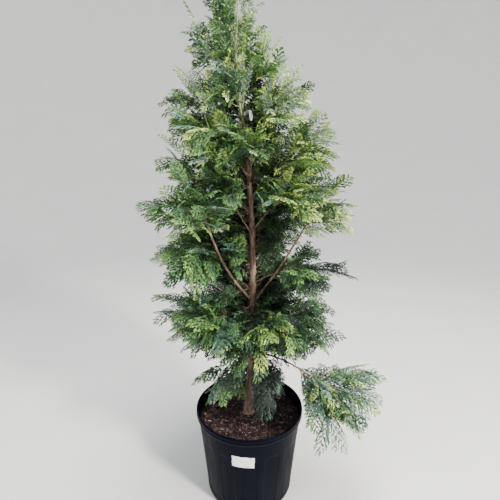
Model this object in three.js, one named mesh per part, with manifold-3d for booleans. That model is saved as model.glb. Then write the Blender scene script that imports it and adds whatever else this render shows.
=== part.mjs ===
// A potted thuja: one young conifer in a round nursery pot. Millimetres and degrees, +Z up.
// The origin is the centre of the pot's flat underside. -Y faces the viewer, +X is to the right.
import * as THREE from "three";
import { mergeVertices } from "three/addons/utils/BufferGeometryUtils.js";
import Module from "manifold-3d";

const wasm = await Module();
wasm.setup();

// Driving dimensions
const CLEARANCE = 0.3;
// Distances within this margin count as the same
const MARGIN = 1;
// Vertices closer than this are one
const WELD = 1e-4;
const POT = {
  height: 300,
  shoulder: 278,
  footRadius: 144,
  shoulderRadius: 171,
  rimRadius: 177.5,
  rimStep: 4,
  rimRound: 3,
  rimTuck: 2,
  lipWidth: 5,
  wall: 2.5,
  floor: 3,
  chamfer: 6,
  segments: 40,
};
const DRAINS = { count: 8, radius: 8, height: 18, depth: 24, sides: 6 };
const LABEL = { width: 69, height: 40, thickness: 0.5, centre: 213, azimuth: -96.6, tilt: -2, cutDepth: 22 };
const SOIL = {
  level: 266,
  crown: 4,
  flatRadius: 34,
  rings: 3,
  segments: 28,
  edgeGap: 0.8,
  bump: 3,
  // The bumps fade out towards this share of the edge's radius
  fade: 1.2,
  // Turns in radians for each millimetre, of the long swells and of the short ripples
  swell: [0.061, 0.073],
  swellShift: 1.3,
  ripple: [0.13, 0.11],
};
const TRUNK = {
  footRadius: 14.5,
  tipRadius: 1.2,
  taper: 1.2,
  flare: 7,
  flareHeight: 28,
  sides: 8,
  steps: 20,
  // Where the axis passes, as [x, y, height]: a slight S that leans left towards the top
  axis: [
    [-3, 0, 240],
    [4, 2, 500],
    [10, 3, 790],
    [5, 3, 960],
    [-5, 2, 1090],
    [-29, 1, 1290],
    [-36, 0, 1380],
    [-31, 0, 1490],
    [-26, 0, 1550],
  ],
};
const LIMB = { sides: 5, stepLength: 48, tipShare: 0.6, radiusPerLength: 0.0128, leastRadius: 2.8 };
const STEM = { sides: 3, steps: 4, tipRadius: 1.6, pathSteps: 8 };
const TWIG = {
  spacing: 44,
  angle: 52,
  radius: 1.7,
  height: 2.6,
  // Degrees that a twig lifts out of its stem's plane: the set lift, and the seeded sway about it
  lift: 24,
  sway: 30,
  // The first twig's place, as a share of the spacing
  first: 0.35,
  // A stalk's length as a share of its stem's, with the least share of a spray's, and how far the
  // stalks shorten towards the stem's end
  share: 0.5,
  leastShare: 0.2,
  shortening: 0.5,
  // How far the draws vary an angle or a stalk
  variation: 0.15,
  // Where a twig forks, and how long the fork's stalk is, as shares of the twig's stalk
  forkAt: 0.5,
  forkStalk: 0.4,
  // Where the last twig leaves the stem, and how long its stalk is as a share of its spray
  endAt: 0.95,
  endStalk: 0.08,
};
const SPRAY = {
  length: 185,
  topLength: 62,
  widthShare: 0.62,
  ribShare: 0.02,
  ridge: 2.8,
  tipNarrowing: 0.45,
  pairs: 3,
  sweep: 1.75,
  bodyShare: 0.8,
  // The stretch of a half wave that the outline swells by, from the first teeth to the last
  swell: [0.3, 0.85],
  roll: 42,
  splay: 48,
  innerShare: 0.8,
  rootShare: 0.3,
  shortening: 0.15,
  variation: 0.12,
};
// Below this sine, a direction counts as upright
const UPRIGHT = 0.05;
const BISECTIONS = 30;
// A spray that touches something or leaves its space is tried again, rolled further or smaller
const TRIES = [
  { size: 1, roll: 0 },
  { size: 1, roll: 75 },
  { size: 0.82, roll: -50 },
  { size: 0.66, roll: 30 },
  { size: 0.5, roll: 90 },
];
const ROOM = { shared: 22, soil: 4, rim: 8, ground: 12 };
const TAG = {
  height: 1226,
  azimuth: -60,
  width: 10,
  thickness: 0.8,
  radius: 11,
  // The angle from the tail at which each side of the loop leaves its round
  mouth: 70,
  reach: 44,
  tail: 14,
  // How far the round's far side is set in towards the trunk's axis, so that it lies on the bark
  inset: 6.3,
  segments: 8,
};
const GROWTH_SEED = 4177;

// One row for each limb: the height of its foot on the trunk, its azimuth from +X, the length of its
// bough and the rise of that bough's first and last stretch. Then the stem of its foliage: its length
// and its last rise. Where the bough has no length, the stem starts from the trunk itself.
const LIMBS = [
  { name: "low_right", foot: 492, azimuth: -17, length: 190, rise: [2, -30], stem: 100, end: -8 },
  { name: "low_front", foot: 545, azimuth: -68, length: 40, rise: [5, -35], stem: 90, end: -80 },
  { name: "low_left", foot: 500, azimuth: 200, length: 50, rise: [0, -35], stem: 60, end: -60 },
  { name: "low_back", foot: 530, azimuth: 96, length: 70, rise: [25, 12], stem: 100, end: 0 },
  { name: "lower_left", foot: 560, azimuth: 168, length: 70, rise: [35, 15], stem: 90, end: 5 },
  { name: "lower_right", foot: 585, azimuth: -2, length: 60, rise: [30, 8], stem: 80, end: -12 },
  { name: "front", foot: 590, azimuth: -72, length: 50, rise: [30, 12], stem: 60, end: -5 },
  { name: "lower_back", foot: 610, azimuth: 60, length: 70, rise: [38, 24], stem: 100, end: 10 },
  { name: "front_left", foot: 630, azimuth: 214, length: 60, rise: [25, 10], stem: 80, end: -10 },
  { name: "right", foot: 656, azimuth: 12, length: 285, rise: [50, 60], stem: 70, end: 56 },
  { name: "left", foot: 668, azimuth: 222, length: 300, rise: [44, 70], stem: 70, end: 60 },
  { name: "back_left", foot: 690, azimuth: 132, length: 70, rise: [45, 30], stem: 110, end: 20 },
  { name: "mid_left", foot: 700, azimuth: 182, length: 90, rise: [45, 25], stem: 90, end: 20 },
  { name: "mid_right", foot: 720, azimuth: -24, length: 80, rise: [42, 24], stem: 80, end: 12 },
  { name: "mid_back", foot: 760, azimuth: 84, length: 70, rise: [46, 34], stem: 110, end: 24 },
  { name: "outer_left", foot: 765, azimuth: 204, length: 0, rise: [42, 42], stem: 190, end: 12 },
  { name: "small_left", foot: 884, azimuth: 232, length: 112, rise: [40, 58], stem: 60, end: 40 },
  { name: "small_right", foot: 890, azimuth: -38, length: 76, rise: [52, 44], stem: 80, end: 30 },
  { name: "middle_left", foot: 800, azimuth: 162, length: 0, rise: [44, 44], stem: 190, end: 26 },
  { name: "middle_right", foot: 830, azimuth: 22, length: 0, rise: [46, 46], stem: 190, end: 30 },
  { name: "middle_back", foot: 870, azimuth: 112, length: 0, rise: [46, 46], stem: 190, end: 30 },
  { name: "upper_back", foot: 910, azimuth: 62, length: 0, rise: [50, 50], stem: 190, end: 34 },
  { name: "upper_left", foot: 940, azimuth: 186, length: 0, rise: [48, 48], stem: 200, end: 30 },
  { name: "upper_right", foot: 990, azimuth: -8, length: 0, rise: [50, 50], stem: 180, end: 40 },
  { name: "upper_front", foot: 1030, azimuth: -84, length: 0, rise: [55, 55], stem: 120, end: 45 },
  { name: "back_crown", foot: 1010, azimuth: 140, length: 0, rise: [48, 48], stem: 180, end: 36 },
  { name: "crown_left", foot: 1050, azimuth: 206, length: 0, rise: [50, 50], stem: 180, end: 42 },
  { name: "crown_back", foot: 1080, azimuth: 84, length: 0, rise: [52, 52], stem: 170, end: 44 },
  { name: "crown_right", foot: 1110, azimuth: -34, length: 0, rise: [54, 54], stem: 140, end: 46 },
  { name: "high_left", foot: 1130, azimuth: 168, length: 0, rise: [50, 50], stem: 180, end: 36 },
  { name: "high_right", foot: 1160, azimuth: 26, length: 0, rise: [54, 54], stem: 140, end: 48 },
  { name: "high_front", foot: 1168, azimuth: 256, length: 0, rise: [58, 58], stem: 110, end: 52 },
  { name: "high_back", foot: 1240, azimuth: 112, length: 0, rise: [56, 56], stem: 130, end: 50 },
  { name: "top_right", foot: 1245, azimuth: -20, length: 0, rise: [56, 56], stem: 100, end: 46 },
  { name: "top_left", foot: 1260, azimuth: 190, length: 0, rise: [58, 58], stem: 150, end: 54 },
  { name: "top_back", foot: 1330, azimuth: 70, length: 0, rise: [62, 62], stem: 90, end: 58 },
  { name: "tip_left", foot: 1400, azimuth: 210, length: 0, rise: [62, 62], stem: 60, end: 58 },
  { name: "leader", foot: 1550, azimuth: 0, length: 0, rise: [85, 85], stem: 30, end: 88 },
];

// Small helpers

function radians(degrees) {
  return (degrees * Math.PI) / 180;
}

function lerp(a, b, share) {
  return a + (b - a) * share;
}

// A seeded generator, so that the plant grows the same way each time
function seededRandom(seed) {
  let state = (seed * 7919 + GROWTH_SEED) % 4294967296;
  const next = () => {
    state = (state * 1664525 + 1013904223) % 4294967296;
    return state / 4294967296;
  };
  next();
  next();
  return next;
}

// A unit direction from an azimuth and a rise above the level
function heading(azimuth, rise) {
  const a = radians(azimuth);
  const r = radians(rise);
  return new THREE.Vector3(Math.cos(a) * Math.cos(r), Math.sin(a) * Math.cos(r), Math.sin(r));
}

function solidOf(geometry) {
  const bare = geometry.clone();
  bare.deleteAttribute("normal");
  bare.deleteAttribute("uv");
  const merged = mergeVertices(bare, WELD);
  const mesh = new wasm.Mesh({
    numProp: 3,
    vertProperties: new Float32Array(merged.attributes.position.array),
    triVerts: new Uint32Array(merged.index.array),
  });
  return new wasm.Manifold(mesh);
}

function geometryOf(solid) {
  const mesh = solid.getMesh();
  const position = new Float32Array(mesh.numVert * 3);
  for (let i = 0; i < mesh.numVert; i++) {
    position.set(mesh.vertProperties.subarray(i * mesh.numProp, i * mesh.numProp + 3), i * 3);
  }
  const geometry = new THREE.BufferGeometry();
  geometry.setAttribute("position", new THREE.BufferAttribute(position, 3));
  geometry.setIndex(new THREE.BufferAttribute(new Uint32Array(mesh.triVerts), 1));
  geometry.computeVertexNormals();
  return geometry;
}

// A joined solid's largest body, so that no loose scrap is kept
function mainBody(solid) {
  return solid.decompose().sort((a, b) => b.volume() - a.volume())[0];
}

// Materials
function material(color, roughness) {
  return new THREE.MeshStandardMaterial({ color, roughness, metalness: 0 });
}
const MATERIALS = {
  pot: material(0x16181c, 0.5),
  soil: material(0x3a2622, 0.95),
  label: material(0xe9e8ec, 0.6),
  tag: material(0xe6eaf0, 0.5),
  bark: material(0x7a5c45, 0.9),
  foliage: material(0x3c6238, 0.6),
};

const plant = new THREE.Group();
plant.name = "potted_thuja";

function addPiece(name, geometry, finish) {
  const mesh = new THREE.Mesh(geometry, finish);
  mesh.name = name;
  plant.add(mesh);
}

// The pot

// Outer and inner radius of the tapered wall at a height
function wallRadius(height) {
  return lerp(POT.footRadius, POT.shoulderRadius, height / POT.shoulder);
}

function boreRadius(height) {
  return wallRadius(height) - POT.wall;
}

// A body of revolution about +Z, from [radius, height] pairs that run up the outside
function turned(profile, segments) {
  const points = profile.map(([radius, height]) => new THREE.Vector2(radius, height));
  return new THREE.LatheGeometry(points, segments).rotateX(Math.PI / 2);
}

// The box that the label is cut to, across the wall and laid along its taper
function labelBox() {
  const lean = Math.atan2(POT.shoulderRadius - POT.footRadius, POT.shoulder);
  const box = new THREE.BoxGeometry(LABEL.cutDepth, LABEL.width, LABEL.height);
  box.rotateX(radians(LABEL.tilt));
  box.rotateY(lean);
  box.translate(wallRadius(LABEL.centre), 0, LABEL.centre);
  box.rotateZ(radians(LABEL.azimuth));
  return box;
}

// The can: flat underneath, a tapered wall, a thicker band at the rim, and drain holes near the foot
function potSolid() {
  const profile = [
    [0, 0],
    [POT.footRadius - POT.chamfer, 0],
    [wallRadius(POT.chamfer), POT.chamfer],
    [POT.shoulderRadius, POT.shoulder],
    [POT.rimRadius, POT.shoulder + POT.rimStep],
    [POT.rimRadius, POT.height - POT.rimRound],
    [POT.rimRadius - POT.rimTuck, POT.height],
    [POT.rimRadius - POT.lipWidth, POT.height],
    [boreRadius(POT.shoulder), POT.shoulder - POT.rimStep],
    [boreRadius(POT.floor), POT.floor],
    [0, POT.floor],
  ];
  const shell = solidOf(turned(profile, POT.segments));
  const drains = [];
  for (let i = 0; i < DRAINS.count; i++) {
    const drain = new THREE.CylinderGeometry(DRAINS.radius, DRAINS.radius, DRAINS.depth, DRAINS.sides);
    drain.rotateZ(Math.PI / 2);
    drain.translate(POT.footRadius, 0, DRAINS.height);
    drain.rotateZ(radians((360 / DRAINS.count) * (i + 0.5)));
    drains.push(solidOf(drain));
  }
  return shell.subtract(wasm.Manifold.union(drains));
}

// The blank sticker: a piece of a thin cone, cut to its outline
function labelSolid() {
  const near = CLEARANCE;
  const far = CLEARANCE + LABEL.thickness;
  const low = LABEL.centre - LABEL.height;
  const high = LABEL.centre + LABEL.height;
  const profile = [
    [wallRadius(low) + near, low],
    [wallRadius(low) + far, low],
    [wallRadius(high) + far, high],
    [wallRadius(high) + near, high],
    [wallRadius(low) + near, low],
  ];
  const skin = solidOf(turned(profile, POT.segments));
  return skin.intersect(solidOf(labelBox()));
}

// How uneven the mix is at a place: swells that cross, and half as strong ripples
function soilWave(x, y) {
  const swell = Math.sin(x * SOIL.swell[0] + SOIL.swellShift) * Math.cos(y * SOIL.swell[1]);
  const ripple = Math.sin(x * SOIL.ripple[0] - y * SOIL.ripple[1]);
  return swell + ripple / 2;
}

// The potting mix: it fills the pot, and is a little uneven on top but for a flat at the trunk
function soilGeometry() {
  const bottom = POT.floor + CLEARANCE;
  const edge = boreRadius(SOIL.level) - SOIL.edgeGap;
  const profile = [
    [0, bottom],
    [boreRadius(bottom) - SOIL.edgeGap, bottom],
    [edge, SOIL.level - SOIL.crown],
  ];
  for (let i = 1; i <= SOIL.rings; i++) {
    profile.push([lerp(edge, SOIL.flatRadius, i / SOIL.rings), SOIL.level]);
  }
  profile.push([0, SOIL.level]);
  const soil = turned(profile, SOIL.segments);
  const position = soil.attributes.position;
  for (let i = 0; i < position.count; i++) {
    const x = position.getX(i);
    const y = position.getY(i);
    const radius = Math.hypot(x, y);
    const isTop = position.getZ(i) > SOIL.level - MARGIN && radius > SOIL.flatRadius + MARGIN;
    if (isTop) {
      const strength = 1 - radius / (edge * SOIL.fade);
      position.setZ(i, SOIL.level + SOIL.bump * soilWave(x, y) * strength);
    }
  }
  return soil;
}

// Limbs

// A tapering limb: a cylinder whose rings are laid along a curve
function limbGeometry(curve, radiusAt, sides, steps) {
  const frames = curve.computeFrenetFrames(steps, false);
  const limb = new THREE.CylinderGeometry(1, 1, 1, sides, steps);
  const position = limb.attributes.position;
  for (let i = 0; i < position.count; i++) {
    const ring = Math.round((position.getY(i) + 0.5) * steps);
    const share = ring / steps;
    const radius = radiusAt(share);
    const point = curve.getPointAt(share);
    point.addScaledVector(frames.normals[ring], -position.getX(i) * radius);
    point.addScaledVector(frames.binormals[ring], position.getZ(i) * radius);
    position.setXYZ(i, point.x, point.y, point.z);
  }
  return limb;
}

const trunkCurve = new THREE.CatmullRomCurve3(TRUNK.axis.map((p) => new THREE.Vector3(...p)));

function trunkRadius(share) {
  const height = lerp(TRUNK.axis[0][2], TRUNK.axis.at(-1)[2], share) - SOIL.level;
  const flare = TRUNK.flare * Math.exp(-Math.max(height, 0) / TRUNK.flareHeight);
  return lerp(TRUNK.footRadius, TRUNK.tipRadius, share ** TRUNK.taper) + flare;
}

// The point on the trunk's axis at a height
function trunkPoint(height) {
  let low = 0;
  let high = 1;
  for (let i = 0; i < BISECTIONS; i++) {
    const middle = (low + high) / 2;
    if (trunkCurve.getPointAt(middle).z < height) {
      low = middle;
    } else {
      high = middle;
    }
  }
  return trunkCurve.getPointAt(low);
}

// The trunk with its flat cut on the soil, or a fatter copy that keeps other limbs clear of it
function trunkSolid(extra) {
  const limb = limbGeometry(trunkCurve, (share) => trunkRadius(share) + extra, TRUNK.sides, TRUNK.steps);
  return solidOf(limb).trimByPlane([0, 0, 1], SOIL.level + CLEARANCE);
}

// A curve that leaves a point at one rise and ends at another
function bent(start, azimuth, length, riseFrom, riseTo) {
  const middle = start.clone().addScaledVector(heading(azimuth, riseFrom), length / 2);
  const end = middle.clone().addScaledVector(heading(azimuth, riseTo), length / 2);
  return new THREE.QuadraticBezierCurve3(start, middle, end);
}

// Where each row's bough and stem run, and how thick they are
function layLimb(row) {
  const foot = trunkPoint(row.foot);
  const radius = Math.max(LIMB.leastRadius, (row.length + row.stem) * LIMB.radiusPerLength);
  const bough = bent(foot, row.azimuth, row.length, row.rise[0], row.rise[1]);
  const leavesBough = row.length > 0;
  const leavesTip = row.foot >= TRUNK.axis.at(-1)[2];
  const gap = leavesBough || leavesTip ? CLEARANCE : 0;
  const start = bough.v2.clone().addScaledVector(heading(row.azimuth, row.rise[1]), gap);
  const stem = bent(start, row.azimuth, row.stem, row.rise[1], row.end);
  const stemRadius = leavesTip ? TRUNK.tipRadius : radius * (leavesBough ? LIMB.tipShare : 1);
  return { row, radius, bough, stem, stemRadius, path: stem.getSpacedPoints(STEM.pathSteps) };
}

function boughSolid(limb, trunkRoom) {
  const radiusAt = (share) => limb.radius * lerp(1, LIMB.tipShare, share);
  const steps = Math.max(2, Math.round(limb.row.length / LIMB.stepLength));
  return mainBody(solidOf(limbGeometry(limb.bough, radiusAt, LIMB.sides, steps)).subtract(trunkRoom));
}

// Foliage

// One twig with its flat spray, along +X and facing +Z: a ridged stalk, then swept teeth to either side,
// whose outline is cut to the rib between them
function sprayGeometry(stalk, length) {
  const vertices = [];
  const faces = [];
  const vertex = (x, y, z) => vertices.push([x, y, z]) - 1;
  const station = (x, halfWidth, height) => ({
    x,
    ridge: vertex(x, 0, height),
    edges: [vertex(x, halfWidth, 0), vertex(x, -halfWidth, 0)],
  });
  const stations = [station(0, TWIG.radius, TWIG.height)];
  for (let k = 0; k <= SPRAY.pairs; k++) {
    const share = k / SPRAY.pairs;
    const narrow = lerp(1, SPRAY.tipNarrowing, share);
    const x = stalk + length * SPRAY.bodyShare * share;
    stations.push(station(x, length * SPRAY.ribShare * narrow, SPRAY.ridge * narrow));
  }
  const tip = vertex(stalk + length, 0, 0);
  const face = (side, a, b, c) => faces.push(side ? [a, c, b] : [a, b, c]);
  stations.slice(1).forEach((to, k) => {
    const from = stations[k];
    faces.push([from.edges[0], to.edges[0], to.edges[1]], [from.edges[0], to.edges[1], from.edges[1]]);
    for (const side of [0, 1]) {
      if (k === 0) {
        face(side, from.ridge, to.edges[side], from.edges[side]);
      } else {
        const swell = Math.sin(Math.PI * lerp(...SPRAY.swell, (k - 1) / SPRAY.pairs));
        const reach = (length * SPRAY.widthShare * swell * (side ? -1 : 1)) / 2;
        const point = vertex(lerp(from.x, to.x, SPRAY.sweep), reach, 0);
        face(side, from.ridge, point, from.edges[side]);
        face(side, from.ridge, to.edges[side], point);
        face(side, from.edges[side], point, to.edges[side]);
      }
      face(side, from.ridge, to.ridge, to.edges[side]);
    }
  });
  const last = stations.at(-1);
  const root = stations[0];
  faces.push([last.ridge, tip, last.edges[0]], [last.ridge, last.edges[1], tip]);
  faces.push([last.edges[0], tip, last.edges[1]], [root.ridge, root.edges[0], root.edges[1]]);
  const geometry = new THREE.BufferGeometry();
  geometry.setAttribute("position", new THREE.Float32BufferAttribute(vertices.flat(), 3));
  geometry.setIndex(faces.flat());
  return geometry;
}

// Turns +X to a direction and the face upwards, then rolls the face about that direction
function sprayMatrix(position, direction, roll) {
  const along = direction.clone().normalize();
  const across = new THREE.Vector3(0, 0, 1).cross(along);
  if (across.length() < UPRIGHT) {
    across.set(0, 1, 0);
  }
  across.normalize().applyAxisAngle(along, radians(roll));
  const face = along.clone().cross(across);
  return new THREE.Matrix4().makeBasis(along, across, face).setPosition(position);
}

// Sprays are shorter towards the top of the plant
function sprayLength(height) {
  const share = (height - POT.height) / (TRUNK.axis.at(-1)[2] - POT.height);
  return lerp(SPRAY.length, SPRAY.topLength, Math.max(0, share) ** 2);
}

// The seeded rule: twigs leave the stem to either side in turn, and each has a fork. Each twig has
// where it starts, where it points, the roll of its face, its bare stalk and its spray's length.
function growTwigs({ row, stem }, random) {
  const spread = () => (random() - 0.5) * 2;
  const varied = (value, variation) => value * (1 + variation * spread());
  const count = Math.max(3, Math.round(row.stem / TWIG.spacing));
  const across = heading(row.azimuth + 90, 0);
  const full = sprayLength(stem.getPointAt(0.5).z);
  const twigs = [];
  const add = (at, direction, stalk, length, forks) => {
    twigs.push({ at, direction, roll: SPRAY.roll * spread(), stalk, length, forks });
  };
  for (let k = 0; k < count; k++) {
    const share = (k + TWIG.first) / count;
    const side = k % 2 ? 1 : -1;
    const along = stem.getTangentAt(share);
    const above = along.clone().cross(across);
    const lift = radians(TWIG.sway * spread() + (k % 4 < 2 ? TWIG.lift : -TWIG.lift));
    const angle = radians(varied(TWIG.angle, TWIG.variation));
    const direction = along.clone().multiplyScalar(Math.cos(angle));
    direction.addScaledVector(across, side * Math.sin(angle) * Math.cos(lift));
    direction.addScaledVector(above, Math.sin(angle) * Math.sin(lift));
    const usual = row.stem * TWIG.share * (1 - TWIG.shortening * share);
    const stalk = varied(Math.max(full * TWIG.leastShare, usual), TWIG.variation);
    const length = varied(full * (1 - SPRAY.shortening * share), SPRAY.variation);
    const at = stem.getPointAt(share);
    add(at, direction, stalk, length, false);
    const fork = direction.clone().applyAxisAngle(above, -side * radians(SPRAY.splay));
    const forkAt = at.clone().addScaledVector(direction, stalk * TWIG.forkAt);
    add(forkAt, fork, stalk * TWIG.forkStalk, length * SPRAY.innerShare, true);
  }
  add(stem.getPointAt(TWIG.endAt), stem.getTangentAt(1), TWIG.endStalk * full, full, false);
  return twigs;
}

function verticesOf(geometry) {
  const { position } = geometry.attributes;
  const vertexAt = (_, i) => new THREE.Vector3().fromBufferAttribute(position, i);
  return Array.from({ length: position.count }, vertexAt);
}

// The distance from a point to a path that is kept as a list of points
function distanceTo(path, target) {
  const segment = new THREE.Line3();
  const nearest = new THREE.Vector3();
  let least = Infinity;
  for (let i = 1; i < path.length; i++) {
    segment.set(path[i - 1], path[i]);
    segment.closestPointToPoint(target, true, nearest);
    least = Math.min(least, nearest.distanceTo(target));
  }
  return least;
}

// Each mass keeps the space nearer to its own stem than to any other, give or take a shared border
function inOwnSpace(limb, limbs, point) {
  const own = distanceTo(limb.path, point) - ROOM.shared;
  return limbs.every((other) => other === limb || distanceTo(other.path, point) > own);
}

function clearOfPot(point) {
  const radius = Math.hypot(point.x, point.y);
  if (radius < boreRadius(SOIL.level) - ROOM.rim * 2) {
    return point.z > SOIL.level + SOIL.bump + ROOM.soil;
  }
  return point.z > (radius < POT.rimRadius + ROOM.rim ? POT.height + ROOM.rim : ROOM.ground);
}

function withBox(solid) {
  return { solid, box: solid.boundingBox() };
}

function touches(solid, placed) {
  const box = solid.boundingBox();
  return placed.some((other) => {
    const isPast = (low, high) => [0, 1, 2].some((i) => low.min[i] > high.max[i] + MARGIN);
    const apart = isPast(other.box, box) || isPast(box, other.box);
    return !apart && other.solid.minGap(solid, CLEARANCE * 2) < CLEARANCE;
  });
}

// One mass: its stem, and on it each twig and spray that has room. A fork needs the twig that it leaves.
function massSolid(limb, limbs, trunkRoom, placed, random) {
  const stemRadius = (share) => lerp(limb.stemRadius, STEM.tipRadius, share);
  const stem = solidOf(limbGeometry(limb.stem, stemRadius, STEM.sides, STEM.steps)).subtract(trunkRoom);
  const blades = [];
  const hasRoom = (point) => inOwnSpace(limb, limbs, point) && clearOfPot(point);
  const settle = ({ at, direction, roll, stalk, length }) =>
    TRIES.some((attempt) => {
      const size = length * attempt.size;
      const geometry = sprayGeometry(stalk, size);
      geometry.applyMatrix4(sprayMatrix(at, direction, roll + attempt.roll));
      if (!verticesOf(geometry).every(hasRoom)) {
        return false;
      }
      const blade = solidOf(geometry);
      const rootEnd = at.dot(direction) + stalk + size * SPRAY.rootShare;
      const beyondRoot = blade.trimByPlane(direction.toArray(), rootEnd);
      if (touches(blade, placed) || touches(beyondRoot, blades)) {
        return false;
      }
      blades.push(withBox(blade));
      return true;
    });
  let carried = true;
  for (const twig of growTwigs(limb, random)) {
    if (carried || !twig.forks) {
      carried = settle(twig);
    }
  }
  return mainBody(wasm.Manifold.union([stem, ...blades.map(({ solid }) => solid)]));
}

// The blank strap looped loosely round the upper trunk, its tail hanging forwards
function tagSolid() {
  const at = trunkPoint(TAG.height);
  const outline = new THREE.Shape();
  const hole = new THREE.Path();
  for (const [path, radius, nose] of [
    [outline, TAG.radius, TAG.reach],
    [hole, TAG.radius - TAG.thickness, TAG.reach - TAG.tail],
  ]) {
    path.absarc(0, 0, radius, radians(TAG.mouth), radians(360 - TAG.mouth), false);
    path.lineTo(nose, -TAG.thickness);
    path.lineTo(nose, TAG.thickness);
    path.closePath();
  }
  outline.holes.push(hole);
  const strap = new THREE.ExtrudeGeometry(outline, {
    depth: TAG.width,
    bevelEnabled: false,
    curveSegments: TAG.segments,
  });
  strap.translate(TAG.radius - TAG.inset, 0, -TAG.width / 2);
  strap.rotateZ(radians(TAG.azimuth));
  strap.translate(at.x, at.y, at.z);
  return solidOf(strap);
}

// Everything above the soil: trunk, boughs, the tag, then each mass in the room that is left
function growPlant() {
  const trunkRoom = trunkSolid(CLEARANCE);
  const placed = [];
  const keep = (name, solid, finish) => {
    addPiece(name, geometryOf(solid), finish);
    placed.push(withBox(solid));
  };
  keep("trunk", trunkSolid(0), MATERIALS.bark);
  const limbs = LIMBS.map(layLimb);
  for (const limb of limbs.filter(({ row }) => row.length > 0)) {
    keep("bough_" + limb.row.name, boughSolid(limb, trunkRoom), MATERIALS.bark);
  }
  keep("tag", tagSolid(), MATERIALS.tag);
  limbs.forEach((limb, index) => {
    const random = seededRandom(index + 1);
    keep("foliage_" + limb.row.name, massSolid(limb, limbs, trunkRoom, placed, random), MATERIALS.foliage);
  });
}

addPiece("pot", geometryOf(potSolid()), MATERIALS.pot);
addPiece("soil", soilGeometry(), MATERIALS.soil);
addPiece("label", geometryOf(labelSolid()), MATERIALS.label);
growPlant();

export default plant;
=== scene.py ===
# The looks of a potted thuja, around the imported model. +Z is up and -Y is towards the viewer.
# The plant grows in millimetres, as its source does, and its meshes are made in metres.
import math

import bpy
import numpy as np
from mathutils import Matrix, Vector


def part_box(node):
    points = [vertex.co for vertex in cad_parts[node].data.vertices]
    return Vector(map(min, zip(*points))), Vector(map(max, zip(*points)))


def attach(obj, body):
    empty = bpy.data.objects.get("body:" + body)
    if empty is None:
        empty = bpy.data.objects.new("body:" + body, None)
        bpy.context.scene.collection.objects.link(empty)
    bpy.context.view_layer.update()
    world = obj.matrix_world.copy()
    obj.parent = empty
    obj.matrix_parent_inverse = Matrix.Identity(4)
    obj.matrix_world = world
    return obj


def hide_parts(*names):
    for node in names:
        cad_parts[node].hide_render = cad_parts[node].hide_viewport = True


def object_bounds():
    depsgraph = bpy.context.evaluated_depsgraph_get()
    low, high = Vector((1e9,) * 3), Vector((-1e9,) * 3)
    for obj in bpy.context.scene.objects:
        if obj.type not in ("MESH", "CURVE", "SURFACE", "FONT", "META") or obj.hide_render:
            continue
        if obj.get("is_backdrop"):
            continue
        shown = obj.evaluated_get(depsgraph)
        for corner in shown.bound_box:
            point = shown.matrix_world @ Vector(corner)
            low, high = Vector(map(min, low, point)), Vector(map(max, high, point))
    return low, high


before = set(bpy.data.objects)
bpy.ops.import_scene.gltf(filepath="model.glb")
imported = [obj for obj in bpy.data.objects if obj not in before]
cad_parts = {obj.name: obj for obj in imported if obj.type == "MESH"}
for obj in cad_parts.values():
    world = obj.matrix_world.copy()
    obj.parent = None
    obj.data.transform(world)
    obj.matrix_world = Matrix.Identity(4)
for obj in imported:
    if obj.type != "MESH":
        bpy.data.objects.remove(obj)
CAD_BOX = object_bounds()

MM = 0.001
UP = np.array([0, 0, 1.0])
RNG = np.random.RandomState(7)

# The camera stands where the photograph was taken: its focal length is in the frame's pixels
CAMERA = {"place": (0.002, -1.118, 1.099), "pitch": 13.4, "focal": 376, "frame": 500, "sensor": 36}

# The source's growth, in millimetres and degrees, and its generator of pseudo-random numbers
CLEARANCE = 0.3
GROWTH_SEED = 4177
GENERATOR = {"stride": 7919, "factor": 1664525, "shift": 1013904223, "range": 4294967296}
TRUNK_AXIS = (
    (-3, 0, 240), (4, 2, 500), (10, 3, 790), (5, 3, 960), (-5, 2, 1090),
    (-29, 1, 1290), (-36, 0, 1380), (-31, 0, 1490), (-26, 0, 1550),
)
TRUNK = {"foot": 14.5, "tip": 1.2, "taper": 1.2, "flare": 7, "flare_height": 28}
LIMB = {"tip_share": 0.6, "per_length": 0.0128, "least": 2.8, "stem_tip": 0.9}
TWIG = {
    "spacing": 44, "first": 0.35, "angle": 52, "share": 0.5, "taper": 0.5, "least_share": 0.2, "play": 0.15,
    "sway": 30, "lift": 24, "fork": 0.5, "fork_stalk": 0.4, "end": 0.95, "end_stalk": 0.08, "radius": 1.1,
}
SPRAY = {"length": 185, "top": 62, "taper": 0.15, "play": 0.12, "roll": 42, "splay": 48, "inner": 0.8}

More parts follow.
